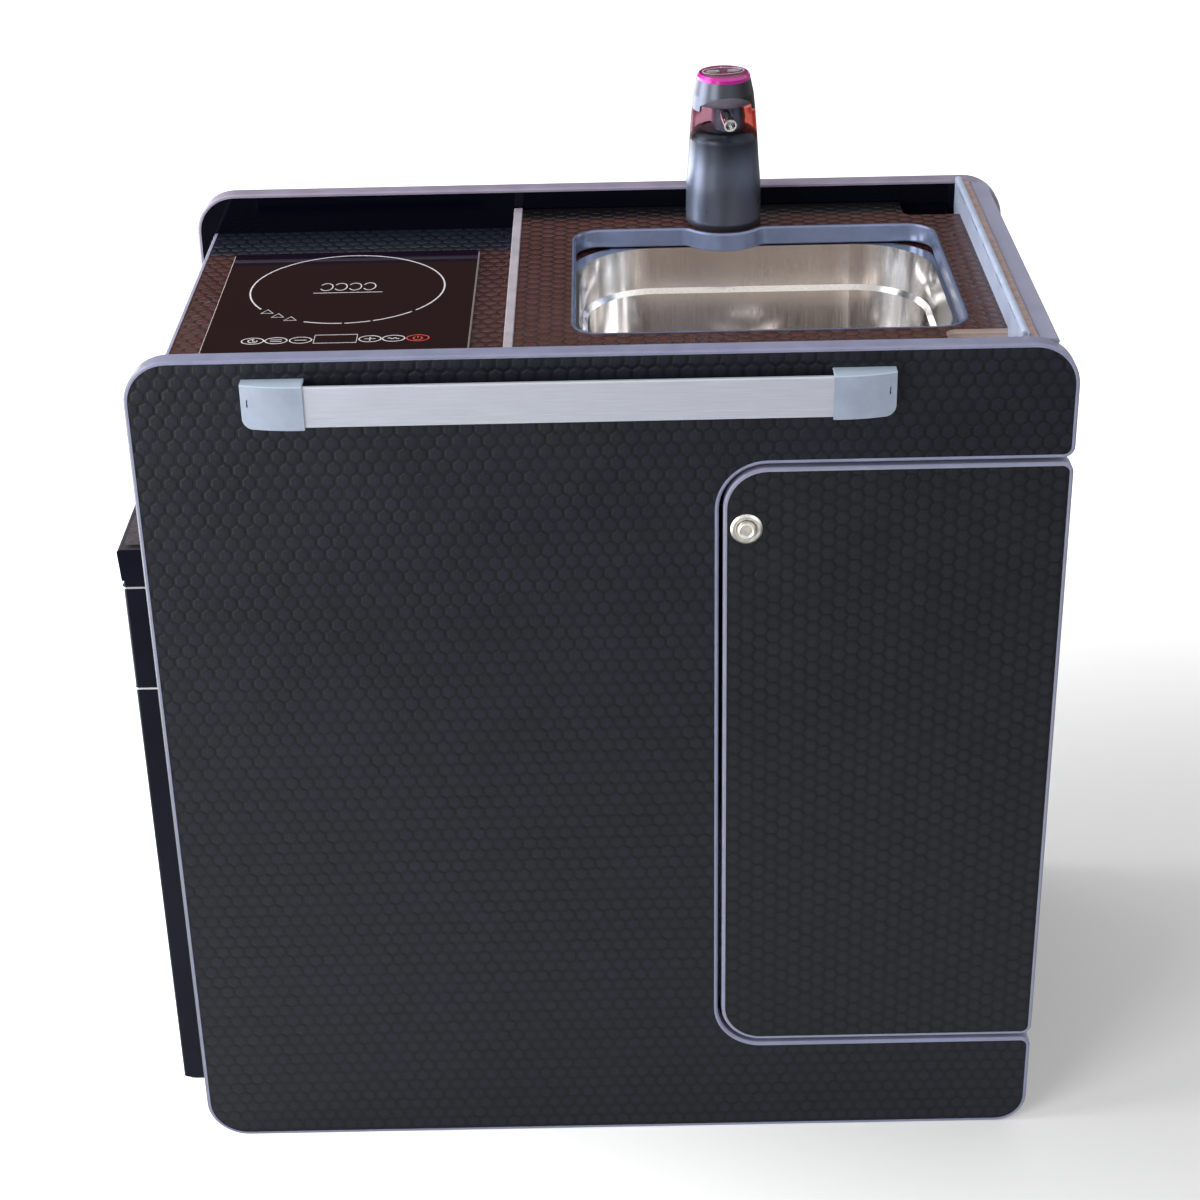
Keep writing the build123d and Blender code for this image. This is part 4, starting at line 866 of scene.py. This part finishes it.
def drawHobRow(white, red, settings, z):
    rowY = frontY + settings["rowBack"]
    thick = settings["thick"]
    line = settings["line"]
    for i, strokes in enumerate(hobSigns()):
        x = podX + settings["signs"][i]
        bm = red if i == settings["redSign"] else white
        outline = arcPoints(
            x, rowY, settings["ovalWide"], settings["ovalDeep"], 0, 360, settings["ovalPoints"])
        bandMesh(bm, outline, line, z, thick)
        for stroke in strokes:
            bandMesh(bm, [(x + a, rowY + b) for a, b in stroke], line, z, thick, False)
    display = settings["display"]
    left = podX + display["left"]
    right = podX + display["right"]
    front = rowY + display["up"] - display["half"]
    back = rowY + display["up"] + display["half"]
    bandMesh(white, [(left, front), (right, front), (right, back), (left, back)], line, z, thick)


def makeHobMarks(settings):
    white = bmesh.new()
    red = bmesh.new()
    z = glassZ + settings["lift"]
    drawHobRing(white, settings, z)
    drawHobRow(white, red, settings, z)
    closeMarks(white, "hob_white_marks", "whitePrint", "pod")
    closeMarks(red, "hob_red_mark", "redPrint", "pod")


makeHobMarks(hobMarks)
print("hob marks made")


# Marks on the tap's touch plate: an oval round both keys and a light on the plate, and a sign in two
# ovals on each key

tapMarks = {
    "turn": 8.0,
    "line": 0.0005,
    "thick": 0.00012,
    "plateSunk": 0.0003,
    "plateThick": 0.00036,
    "ovalBack": 0.0012,
    "ovalWide": 0.0178,
    "ovalDeep": 0.0105,
    "ovalPoints": 64,
    "lightBack": 0.0128,
    "lightRadius": 0.0011,
    "lightPoints": 14,
    "keyOffset": 0.0092,
    "keyOvals": (0.0055, 0.0042),
    "keyDeep": 0.6,  # of its width
    "keyPoints": 30,
    "keyLine": 0.00035,
    "signHalf": 0.002,
    "plusHalf": 0.0013,
}


def makeTapMarks(settings):
    place = Matrix.Translation((tapX, tapY, 0)) @ Matrix.Rotation(math.radians(settings["turn"]), 4, "Z")
    line = settings["line"]
    plateZ = high("tap_touch_plate", "Z") - settings["plateSunk"]
    plate = bmesh.new()
    oval = arcPoints(
        0, settings["ovalBack"], settings["ovalWide"], settings["ovalDeep"], 0, 360,
        settings["ovalPoints"])
    bandMesh(plate, oval, line, plateZ, settings["plateThick"])
    half = settings["lightRadius"] / 2
    light = arcPoints(0, settings["lightBack"], half, half, 0, 360, settings["lightPoints"])
    bandMesh(plate, light, settings["lightRadius"], plateZ, settings["plateThick"])
    closeMarks(plate, "tap_plate_marks", "whitePrint", "sink_lid", place)
    minus = [(-settings["signHalf"], 0), (settings["signHalf"], 0)]
    upright = [(0, -settings["plusHalf"]), (0, settings["plusHalf"])]
    for name, side, body, strokes in (
            ("tap_button_left", -1, "tap_left_key", [minus]),
            ("tap_button_right", 1, "tap_right_key", [minus, upright])):
        key = bmesh.new()
        x = side * settings["keyOffset"]
        z = high(name, "Z")
        for reach in settings["keyOvals"]:
            oval = arcPoints(x, 0, reach, reach * settings["keyDeep"], 0, 360, settings["keyPoints"])
            bandMesh(key, oval, settings["keyLine"], z, settings["thick"])
        for stroke in strokes:
            bandMesh(key, [(x + a, b) for a, b in stroke], line, z, settings["thick"], False)
        closeMarks(key, name + "_sign", "whitePrint", body, place)


makeTapMarks(tapMarks)
print("tap marks made")


# Turned pieces of the tap: a satin shell that runs from the base to a rounded shoulder, the clear
# sleeve above that shoulder, and the collar under the cap's arch. Heights are above the lid

tapTurned = {
    "sides": 72,
    "baseSteps": 6,
    "straightSteps": 14,
    "roundSteps": 12,
    "sleeveSteps": 12,
    "shellFoot": 0.0022,
    "baseTop": 0.0350,
    "shellTop": 0.0848,
    "footRadius": 0.03268,
    "baseRadius": 0.03228,
    "blend": 0.026,  # how far up the base's radius runs out into the sleeve's
    "shoulder": 0.0100,
    "shellMouth": 0.0195,
    "baseSkin": 0.00004,
    "shellSkin": 0.0009,
    "shellLower": 0.0001,
    "apart": 0.0002,
    "sleeveFoot": 0.0314,
    "sleeveHead": 0.0272,
    "sleeveSwell": 0.0005,
    "sleeveWall": 0.0012,
    "sleeveThinnest": 0.00002,
    "offShoulder": 0.00008,
    "innerStop": 0.003,
    "roofRadius": 0.0244,
    "roofFoot": 0.1065,
    "collarFoot": 0.1071,
    "collarTop": 0.1165,
    "collarRadius": 0.0253,
    "collarChamfer": (0.0015, 0.0004),
}
spoutHole = {
    "radius": 0.0058, "sides": 32, "below": 0.002, "tilt": 12.0, "turn": 8.0, "length": 0.03,
    "out": 0.028}


def lathe(name, profile, sides):
    bm = bmesh.new()
    turns = [2 * math.pi * i / sides for i in range(sides)]
    rings = []
    for radius, z in profile:
        if radius < 0.00001:
            rings.append([bm.verts.new((tapX, tapY, z))] * sides)
            continue
        around = [(tapX + radius * math.cos(turn), tapY + radius * math.sin(turn), z) for turn in turns]
        rings.append([bm.verts.new(point) for point in around])
    for a, b in zip(rings, rings[1:] + rings[:1]):
        for i in range(sides):
            corners = [a[i], a[(i + 1) % sides], b[(i + 1) % sides], b[i]]
            corners = [v for k, v in enumerate(corners) if v not in corners[:k]]
            if len(corners) > 2:
                bm.faces.new(corners)
    bmesh.ops.recalc_face_normals(bm, faces=bm.faces)
    for face in bm.faces:
        face.smooth = True
    mesh = bpy.data.meshes.new(name)
    bm.to_mesh(mesh)
    bm.free()
    return mesh


def sleeveRadius(z):
    foot = low("tap_sleeve", "Z")
    along = (z - foot) / (low("tap_cap", "Z") - foot)
    straight = tapTurned["sleeveFoot"] + (tapTurned["sleeveHead"] - tapTurned["sleeveFoot"]) * along
    return straight + 4 * tapTurned["sleeveSwell"] * along * (1 - along)


def shoulderFoot(settings):
    return lidZ + settings["shellTop"] - settings["shoulder"]


def makeTapShell(settings):
    foot = lidZ + settings["shellFoot"]
    top = lidZ + settings["baseTop"]
    wider = settings["baseRadius"] - settings["footRadius"]
    steps = settings["baseSteps"]
    base = [
        (settings["footRadius"] + wider * i / steps, foot + (top - foot) * i / steps)
        for i in range(steps + 1)]
    turnZ = shoulderFoot(settings)
    straight = []
    steps = settings["straightSteps"]
    for i in range(1, steps + 1):
        z = top + (turnZ - top) * i / steps
        share = min((z - top) / settings["blend"], 1)
        radius = sleeveRadius(z)
        straight.append((radius + (settings["baseRadius"] - radius) * (1 - share) ** 2, z))
    corner = settings["shoulder"]
    edge = straight[-1][0] - corner
    steps = settings["roundSteps"]
    turns = [math.pi / 2 * i / steps for i in range(1, steps + 1)]
    rounded = [(edge + corner * math.cos(turn), turnZ + corner * math.sin(turn)) for turn in turns]
    mouth = (settings["shellMouth"], lidZ + settings["shellTop"])
    skin = settings["shellSkin"]
    apart = settings["apart"]
    inside = [(radius - settings["baseSkin"], z) for radius, z in base]
    inside += [(radius - skin, z - settings["shellLower"]) for radius, z in straight]
    inside += [
        (radius - skin * (1 - i / steps), z - apart) for i, (radius, z) in enumerate(rounded)]
    inside += [(mouth[0], mouth[1] - apart)]
    shell = lathe("tap_shell", base + straight + rounded + [mouth] + inside[::-1], settings["sides"])
    finishPiece("tap_shell", shell, tapMetals["tapShell"], "sink_lid")


def cutSpoutHole(mesh, settings):
    bpy.ops.mesh.primitive_cylinder_add(
        vertices=settings["sides"], radius=settings["radius"], depth=settings["length"])
    cutter = bpy.context.object
    turn = Matrix.Rotation(math.radians(settings["turn"]), 4, "Z")
    tilt = Matrix.Rotation(math.radians(90 + settings["tilt"]), 4, "X")
    start = Matrix.Translation((tapX, tapY, low("tap_cap", "Z") - settings["below"]))
    cutter.data.transform(start @ turn @ tilt @ Matrix.Translation((0, 0, settings["out"])))
    piece = bpy.data.objects.new("sleeveBlank", mesh)
    bpy.context.scene.collection.objects.link(piece)
    modifier = piece.modifiers.new("hole", "BOOLEAN")
    modifier.object = cutter
    modifier.operation = "DIFFERENCE"
    modifier.solver = "EXACT"
    cut = bpy.data.meshes.new_from_object(piece.evaluated_get(bpy.context.evaluated_depsgraph_get()))
    piece.modifiers.clear()
    bpy.data.objects.remove(piece)
    bpy.data.objects.remove(cutter)
    return cut


def makeClearSleeve(settings):
    head = low("tap_cap", "Z")
    wall = settings["sleeveWall"]
    corner = settings["shoulder"]
    turnZ = shoulderFoot(settings)
    edge = sleeveRadius(turnZ) - corner
    start = turnZ + settings["apart"]
    outer = []
    inner = []
    steps = settings["sleeveSteps"]
    for i in range(steps + 1):
        z = start + (head - start) * i / steps
        radius = sleeveRadius(z)
        up = min(z - turnZ, corner)
        shellHere = edge + math.sqrt(corner ** 2 - up ** 2) if up < corner else 0
        offShell = max(radius - wall, shellHere + settings["offShoulder"])
        outer.append((radius, z))
        if z < head - settings["innerStop"]:
            inner.append((min(offShell, radius - settings["sleeveThinnest"]), z))
    roof = settings["roofRadius"]
    foot = lidZ + settings["roofFoot"]
    top = [(roof, head), (roof, foot), (roof - wall, foot), (roof - wall, head - 2 * wall)]
    blank = lathe("tap_clear_sleeve", outer + top + inner[::-1], settings["sides"])
    sleeve = finishPiece(
        "tap_clear_sleeve", cutSpoutHole(blank, spoutHole), tapSleeve, "sink_lid")
    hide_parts("tap_sleeve")


def makeTapCollar(settings):
    foot = lidZ + settings["collarFoot"]
    top = lidZ + settings["collarTop"]
    radius = settings["collarRadius"]
    down, across = settings["collarChamfer"]
    profile = [(0, foot), (radius, foot), (radius, top - down), (radius - across, top), (0, top)]
    collar = lathe("tap_collar", profile, settings["sides"])
    finishPiece("tap_collar", collar, finishes["tapCollar"], "sink_lid")


makeTapShell(tapTurned)
makeClearSleeve(tapTurned)
makeTapCollar(tapTurned)
print("tap shell, sleeve and collar turned")


# Geometry Nodes: the trees and what grows from them

def newTree(name, numbers):
    tree = bpy.data.node_groups.new(name, "GeometryNodeTree")
    for key, value in numbers.items():
        kind = "NodeSocketInt" if isinstance(value, int) else "NodeSocketFloat"
        tree.interface.new_socket(key, in_out="INPUT", socket_type=kind).default_value = value
    tree.interface.new_socket("Finish", in_out="INPUT", socket_type="NodeSocketMaterial")
    tree.interface.new_socket("Geometry", in_out="OUTPUT", socket_type="NodeSocketGeometry")
    return tree, tree.nodes.new("NodeGroupInput").outputs


def closeTree(tree, given, geometry):
    real = addNode(tree, "GeometryNodeRealizeInstances", Geometry=geometry)
    painted = addNode(tree, "GeometryNodeSetMaterial", Geometry=real.outputs[0], Material=given["Finish"])
    tree.links.new(painted.outputs[0], tree.nodes.new("NodeGroupOutput").inputs[0])


def growPiece(name, tree, values, material, body, place):
    piece = bpy.data.objects.new(name, bpy.data.meshes.new(name + "_start"))
    bpy.context.scene.collection.objects.link(piece)
    modifier = piece.modifiers.new("shape", "NODES")
    modifier.node_group = tree
    for item in tree.interface.items_tree:
        if item.in_out == "INPUT" and item.name in values:
            modifier[item.identifier] = values[item.name]
        if item.in_out == "INPUT" and item.name == "Finish":
            modifier[item.identifier] = material
    graph = bpy.context.evaluated_depsgraph_get()
    mesh = bpy.data.meshes.new_from_object(piece.evaluated_get(graph))
    piece.modifiers.clear()
    bpy.data.objects.remove(piece)
    mesh.transform(place)
    mesh.name = name
    return finishPiece(name, mesh, material, body)


# Ribs round the container caps and the thermostat's knob

capRibs = {"Count": 44, "Radius": 0.026, "Across": 0.0016, "Deep": 0.0012, "Tall": 0.0145}
knobRibs = {"Count": 30, "Radius": 0.012, "Across": 0.0011, "Deep": 0.0009, "Tall": 0.0085}
ribPlaces = {"aboveCapFoot": 0.0015, "knobChamfer": 0.002}


def ringTree():
    tree, given = newTree("ringOfRibs", capRibs)
    circle = addNode(tree, "GeometryNodeMeshCircle", Vertices=given["Count"], Radius=given["Radius"])
    size = addNode(tree, "ShaderNodeCombineXYZ", X=given["Deep"], Y=given["Across"], Z=given["Tall"])
    rib = addNode(tree, "GeometryNodeMeshCube", Size=size.outputs[0])
    index = tree.nodes.new("GeometryNodeInputIndex").outputs[0]
    step = maths(tree, "DIVIDE", 2 * math.pi, given["Count"])
    turn = addNode(tree, "ShaderNodeCombineXYZ", Z=maths(tree, "MULTIPLY", index, step))
    ribs = addNode(
        tree, "GeometryNodeInstanceOnPoints", Points=circle.outputs[0], Instance=rib.outputs[0],
        Rotation=turn.outputs[0])
    closeTree(tree, given, ribs.outputs[0])
    return tree


# The two caps are one CAD piece, so its points are parted halfway along its longer side
def capCentres():
    caps = nodes["container_caps"]
    points = [caps.matrix_world @ v.co for v in caps.data.vertices]
    spans = [max(p[i] for p in points) - min(p[i] for p in points) for i in (0, 1)]
    axis = spans.index(max(spans))
    halfway = sum(f(p[axis] for p in points) for f in (min, max)) / 2
    halves = [[p for p in points if (p[axis] < halfway) == side] for side in (True, False)]
    return [tuple(sum(f(p[i] for p in half) for f in (min, max)) / 2 for i in (0, 1)) for half in halves]


def growRibs(settings):
    ribs = ringTree()
    capZ = low("container_caps", "Z") + settings["aboveCapFoot"] + capRibs["Tall"] / 2
    for side, (x, y) in zip(("first", "second"), capCentres()):
        growPiece(
            "container_cap_ribs_" + side, ribs, capRibs, finishes["capBlue"], "pod",
            Matrix.Translation((x, y, capZ)))
    knobX = low("thermostat_knob", "X") + settings["knobChamfer"] + knobRibs["Tall"] / 2
    place = Matrix.Translation((knobX, middle("thermostat_knob", "Y"), middle("thermostat_knob", "Z")))
    growPiece(
        "thermostat_knob_ribs", ribs, knobRibs, finishes["whiteLiner"], "fridge_thermostat",
        place @ Matrix.Rotation(math.radians(90), 4, "Y"))


growRibs(ribPlaces)
print("cap ribs and knob ribs grown")


# Cross-slot screws in a row along each leaf of the lid's long hinge

screwSettings = {
    "count": 6,
    "radius": 0.0034,
    "proud": 0.0006,
    "slot": 0.24,  # of the radius, as are the next two
    "headTop": 0.86,
    "slotReach": 1.1,
    "headSides": 20,
    "fromEnds": 0.03,
    "leafWall": 0.0012,
    "fixedUp": 0.011,
    "movingDown": 0.0075,
    "movingForward": 0.008,
}


def screwRowTree(values, settings):
    tree, given = newTree("rowOfScrews", values)
    line = addNode(tree, "GeometryNodeMeshLine", Count=given["Count"])
    run = addNode(tree, "ShaderNodeCombineXYZ", X=given["Step"])
    tree.links.new(run.outputs[0], line.inputs["Offset"])
    headTop = maths(tree, "MULTIPLY", given["Radius"], settings["headTop"])
    head = addNode(
        tree, "GeometryNodeMeshCone", Vertices=settings["headSides"], Radius_Bottom=given["Radius"],
        Radius_Top=headTop, Depth=given["Proud"])
    cut = addNode(tree, "GeometryNodeMeshBoolean", {"operation": "DIFFERENCE"})
    tree.links.new(head.outputs[0], cut.inputs[0])
    reach = maths(tree, "MULTIPLY", given["Radius"], settings["slotReach"])
    for wide, deep in ((reach, given["Slot"]), (given["Slot"], reach)):
        size = addNode(tree, "ShaderNodeCombineXYZ", X=wide, Y=deep, Z=given["Proud"])
        bar = addNode(tree, "GeometryNodeMeshCube", Size=size.outputs[0])
        lift = addNode(tree, "ShaderNodeCombineXYZ", Z=given["Proud"])
        raised = addNode(
            tree, "GeometryNodeTransform", Geometry=bar.outputs[0], Translation=lift.outputs[0])
        tree.links.new(raised.outputs[0], cut.inputs[1])
    screws = addNode(
        tree, "GeometryNodeInstanceOnPoints", Points=line.outputs[0], Instance=cut.outputs[0])
    closeTree(tree, given, screws.outputs[0])
    return tree


def growScrews(settings):
    start = low("lid_hinge_fixed_leaf", "Y") + settings["fromEnds"]
    step = (high("lid_hinge_fixed_leaf", "Y") - start - settings["fromEnds"]) / (settings["count"] - 1)
    values = {
        "Count": settings["count"], "Step": step, "Radius": settings["radius"],
        "Proud": settings["proud"], "Slot": settings["radius"] * settings["slot"]}
    screws = screwRowTree(values, settings)
    alongY = Matrix.Rotation(math.radians(90), 4, "Z")
    fixedX = high("lid_hinge_fixed_leaf", "X") - settings["leafWall"]
    fixedZ = low("lid_hinge_fixed_leaf", "Z") + settings["fixedUp"]
    fixed = Matrix.Translation((fixedX, start, fixedZ)) @ Matrix.Rotation(math.radians(-90), 4, "Y")
    growPiece(
        "hinge_screws_fixed", screws, values, metals["platedSteel"], "pod", fixed @ alongY)
    movingX = low("lid_hinge_moving_leaf", "X") + settings["leafWall"]
    movingY = start + step / 2 - settings["movingForward"]
    moving = Matrix.Translation((movingX, movingY, lidZ - settings["movingDown"]))
    moving = moving @ Matrix.Rotation(math.radians(90), 4, "Y")
    growPiece(
        "hinge_screws_moving", screws, values, metals["platedSteel"], "sink_lid", moving @ alongY)


growScrews(screwSettings)
print("hinge screws grown")


# Room: white to the camera and through glass. Metal and gloss mirror a floor that is brighter on the
# left, and dimmer on the right and in front

floorSettings = {
    "size": 14,
    "colour": (0.88, 0.88, 0.88),
    "cloud": 1.03,
    "cloudScale": 1.5,
    "glow": 0.065,
    "farGlow": 0.71,
    "shadowSpot": (0.62, 0.05, 0.0),  # the glow grows away from here
    "shadowReach": (0.25, 1.2),
    "mirrorLeft": 3.6,
    "leftFrom": (-0.8, -1.5),
    "mirrorRight": 0.4,
    "rightFrom": (0.3, 1.4),
    "mirrorFront": 0.3,
    "frontFrom": (-0.4, -1.5),
}


def seenDirectly(tree):
    path = tree.nodes.new("ShaderNodeLightPath").outputs
    return path, maths(tree, "MAXIMUM", path["Is Camera Ray"], path["Is Transmission Ray"])


def makeFloor(settings):
    bpy.ops.mesh.primitive_plane_add(size=settings["size"], location=(0, 0, 0))
    floor = bpy.context.object
    floor.name = "floor"
    material, tree, shader, place = startMaterial("paleFloor", settings["colour"], 0.9, specular=0.1)
    path, seen = seenDirectly(tree)
    parts = split(tree, place)
    spot = vectorMaths(tree, "LENGTH", vectorMaths(tree, "SUBTRACT", place, settings["shadowSpot"]))
    backdrop = smooth(tree, spot, *settings["shadowReach"], settings["glow"], settings["farGlow"])
    leftGlow = smooth(tree, parts["X"], *settings["leftFrom"], 0.0, settings["mirrorLeft"])
    rightDim = smooth(tree, parts["X"], *settings["rightFrom"], 1.0, settings["mirrorRight"])
    frontDim = smooth(tree, parts["Y"], *settings["frontFrom"], 1.0, settings["mirrorFront"])
    dim = maths(tree, "MULTIPLY", rightDim, frontDim)
    mirrored = path["Is Glossy Ray"]
    mirrorGlow = maths(tree, "MULTIPLY_ADD", settings["glow"], dim, leftGlow)
    directGlow = maths(tree, "MULTIPLY", seen, backdrop)
    glow = maths(tree, "MULTIPLY_ADD", mirrored, mirrorGlow, directGlow)
    keep = maths(tree, "MULTIPLY_ADD", mirrored, maths(tree, "SUBTRACT", dim, 1.0), 1.0)
    cloudy = tuple(part * settings["cloud"] for part in settings["colour"])
    cloud = noise(tree, place, settings["cloudScale"], 4.0)
    plain = mixColour(tree, cloud, settings["colour"], cloudy)
    tree.links.new(mixColour(tree, keep, (0, 0, 0), plain), shader.inputs["Base Color"])
    shader.inputs["Emission Color"].default_value = (1, 1, 1, 1)
    tree.links.new(glow, shader.inputs["Emission Strength"])
    floor.data.materials.append(material)


# Soft light of one strength for matt pieces, and a brighter or darker sky for gloss and metal to mirror

worldSettings = {
    "strength": 0.50,
    "mirrorLeft": 0.8,
    "mirrorRight": 1.15,
    "sideways": (-0.5, 0.5),
    "mirrorBehind": 0.05,
    "behindFrom": (0.45, 0.75),
    "behindBelow": (0.60, 0.46),
    "mirrorHorizon": 1.0,
    "horizonBelow": (0.16, 0.04),
}


def makeWorld(settings):
    world = bpy.data.worlds.new("studioWorld")
    bpy.context.scene.world = world
    world.use_nodes = True
    tree = world.node_tree
    tree.nodes.clear()
    path, seen = seenDirectly(tree)
    direction = split(tree, tree.nodes.new("ShaderNodeTexCoord").outputs["Generated"])
    backwards = smooth(tree, direction["Y"], *settings["behindFrom"])
    behind = maths(tree, "MULTIPLY", backwards, smooth(tree, direction["Z"], *settings["behindBelow"]))
    aside = smooth(
        tree, direction["X"], *settings["sideways"], settings["mirrorLeft"], settings["mirrorRight"])
    front = maths(tree, "MULTIPLY", aside, maths(tree, "SUBTRACT", 1.0, behind))
    overhead = maths(tree, "MULTIPLY_ADD", behind, settings["mirrorBehind"], front)
    level = smooth(tree, direction["Z"], *settings["horizonBelow"])
    horizon = maths(tree, "MULTIPLY", level, settings["mirrorHorizon"])
    mirrored = maths(tree, "MAXIMUM", overhead, horizon)
    soft, gloss, white = (
        addNode(tree, "ShaderNodeBackground", Color=(1, 1, 1, 1), Strength=strength).outputs[0]
        for strength in (settings["strength"], mirrored, 1.0))
    first = addNode(tree, "ShaderNodeMixShader", _0=path["Is Glossy Ray"], _1=soft, _2=gloss)
    second = addNode(tree, "ShaderNodeMixShader", _0=seen, _1=first.outputs[0], _2=white)
    output = tree.nodes.new("ShaderNodeOutputWorld")
    tree.links.new(second.outputs[0], output.inputs["Surface"])


lampSettings = {
    "aim": (0, 0, 0.4),
    "lamps": [
        {"name": "sideLamp", "place": (-2.3, 0.0, 1.4), "size": (1.7, 2.0), "power": 56},
        {"name": "frontLamp", "place": (-2.0, -2.3, 1.5), "size": (1.5, 1.5), "power": 50},
        {"name": "topLamp", "place": (-1.2, 0.6, 2.8), "size": (1.5, 1.5), "power": 14},
        {"name": "fillLamp", "place": (2.2, -1.2, 2.3), "size": (1.0, 1.0), "power": 8},
    ],
}


def makeLamps(settings):
    for lamp in settings["lamps"]:
        data = bpy.data.lights.new(lamp["name"], "AREA")
        data.shape = "RECTANGLE"
        data.size, data.size_y = lamp["size"]
        data.energy = lamp["power"]
        light = bpy.data.objects.new(lamp["name"], data)
        bpy.context.scene.collection.objects.link(light)
        light.location = lamp["place"]
        towards = Vector(settings["aim"]) - Vector(lamp["place"])
        light.rotation_euler = towards.to_track_quat("-Z", "Y").to_euler()


makeFloor(floorSettings)
makeWorld(worldSettings)
makeLamps(lampSettings)
print("room and lamps made")
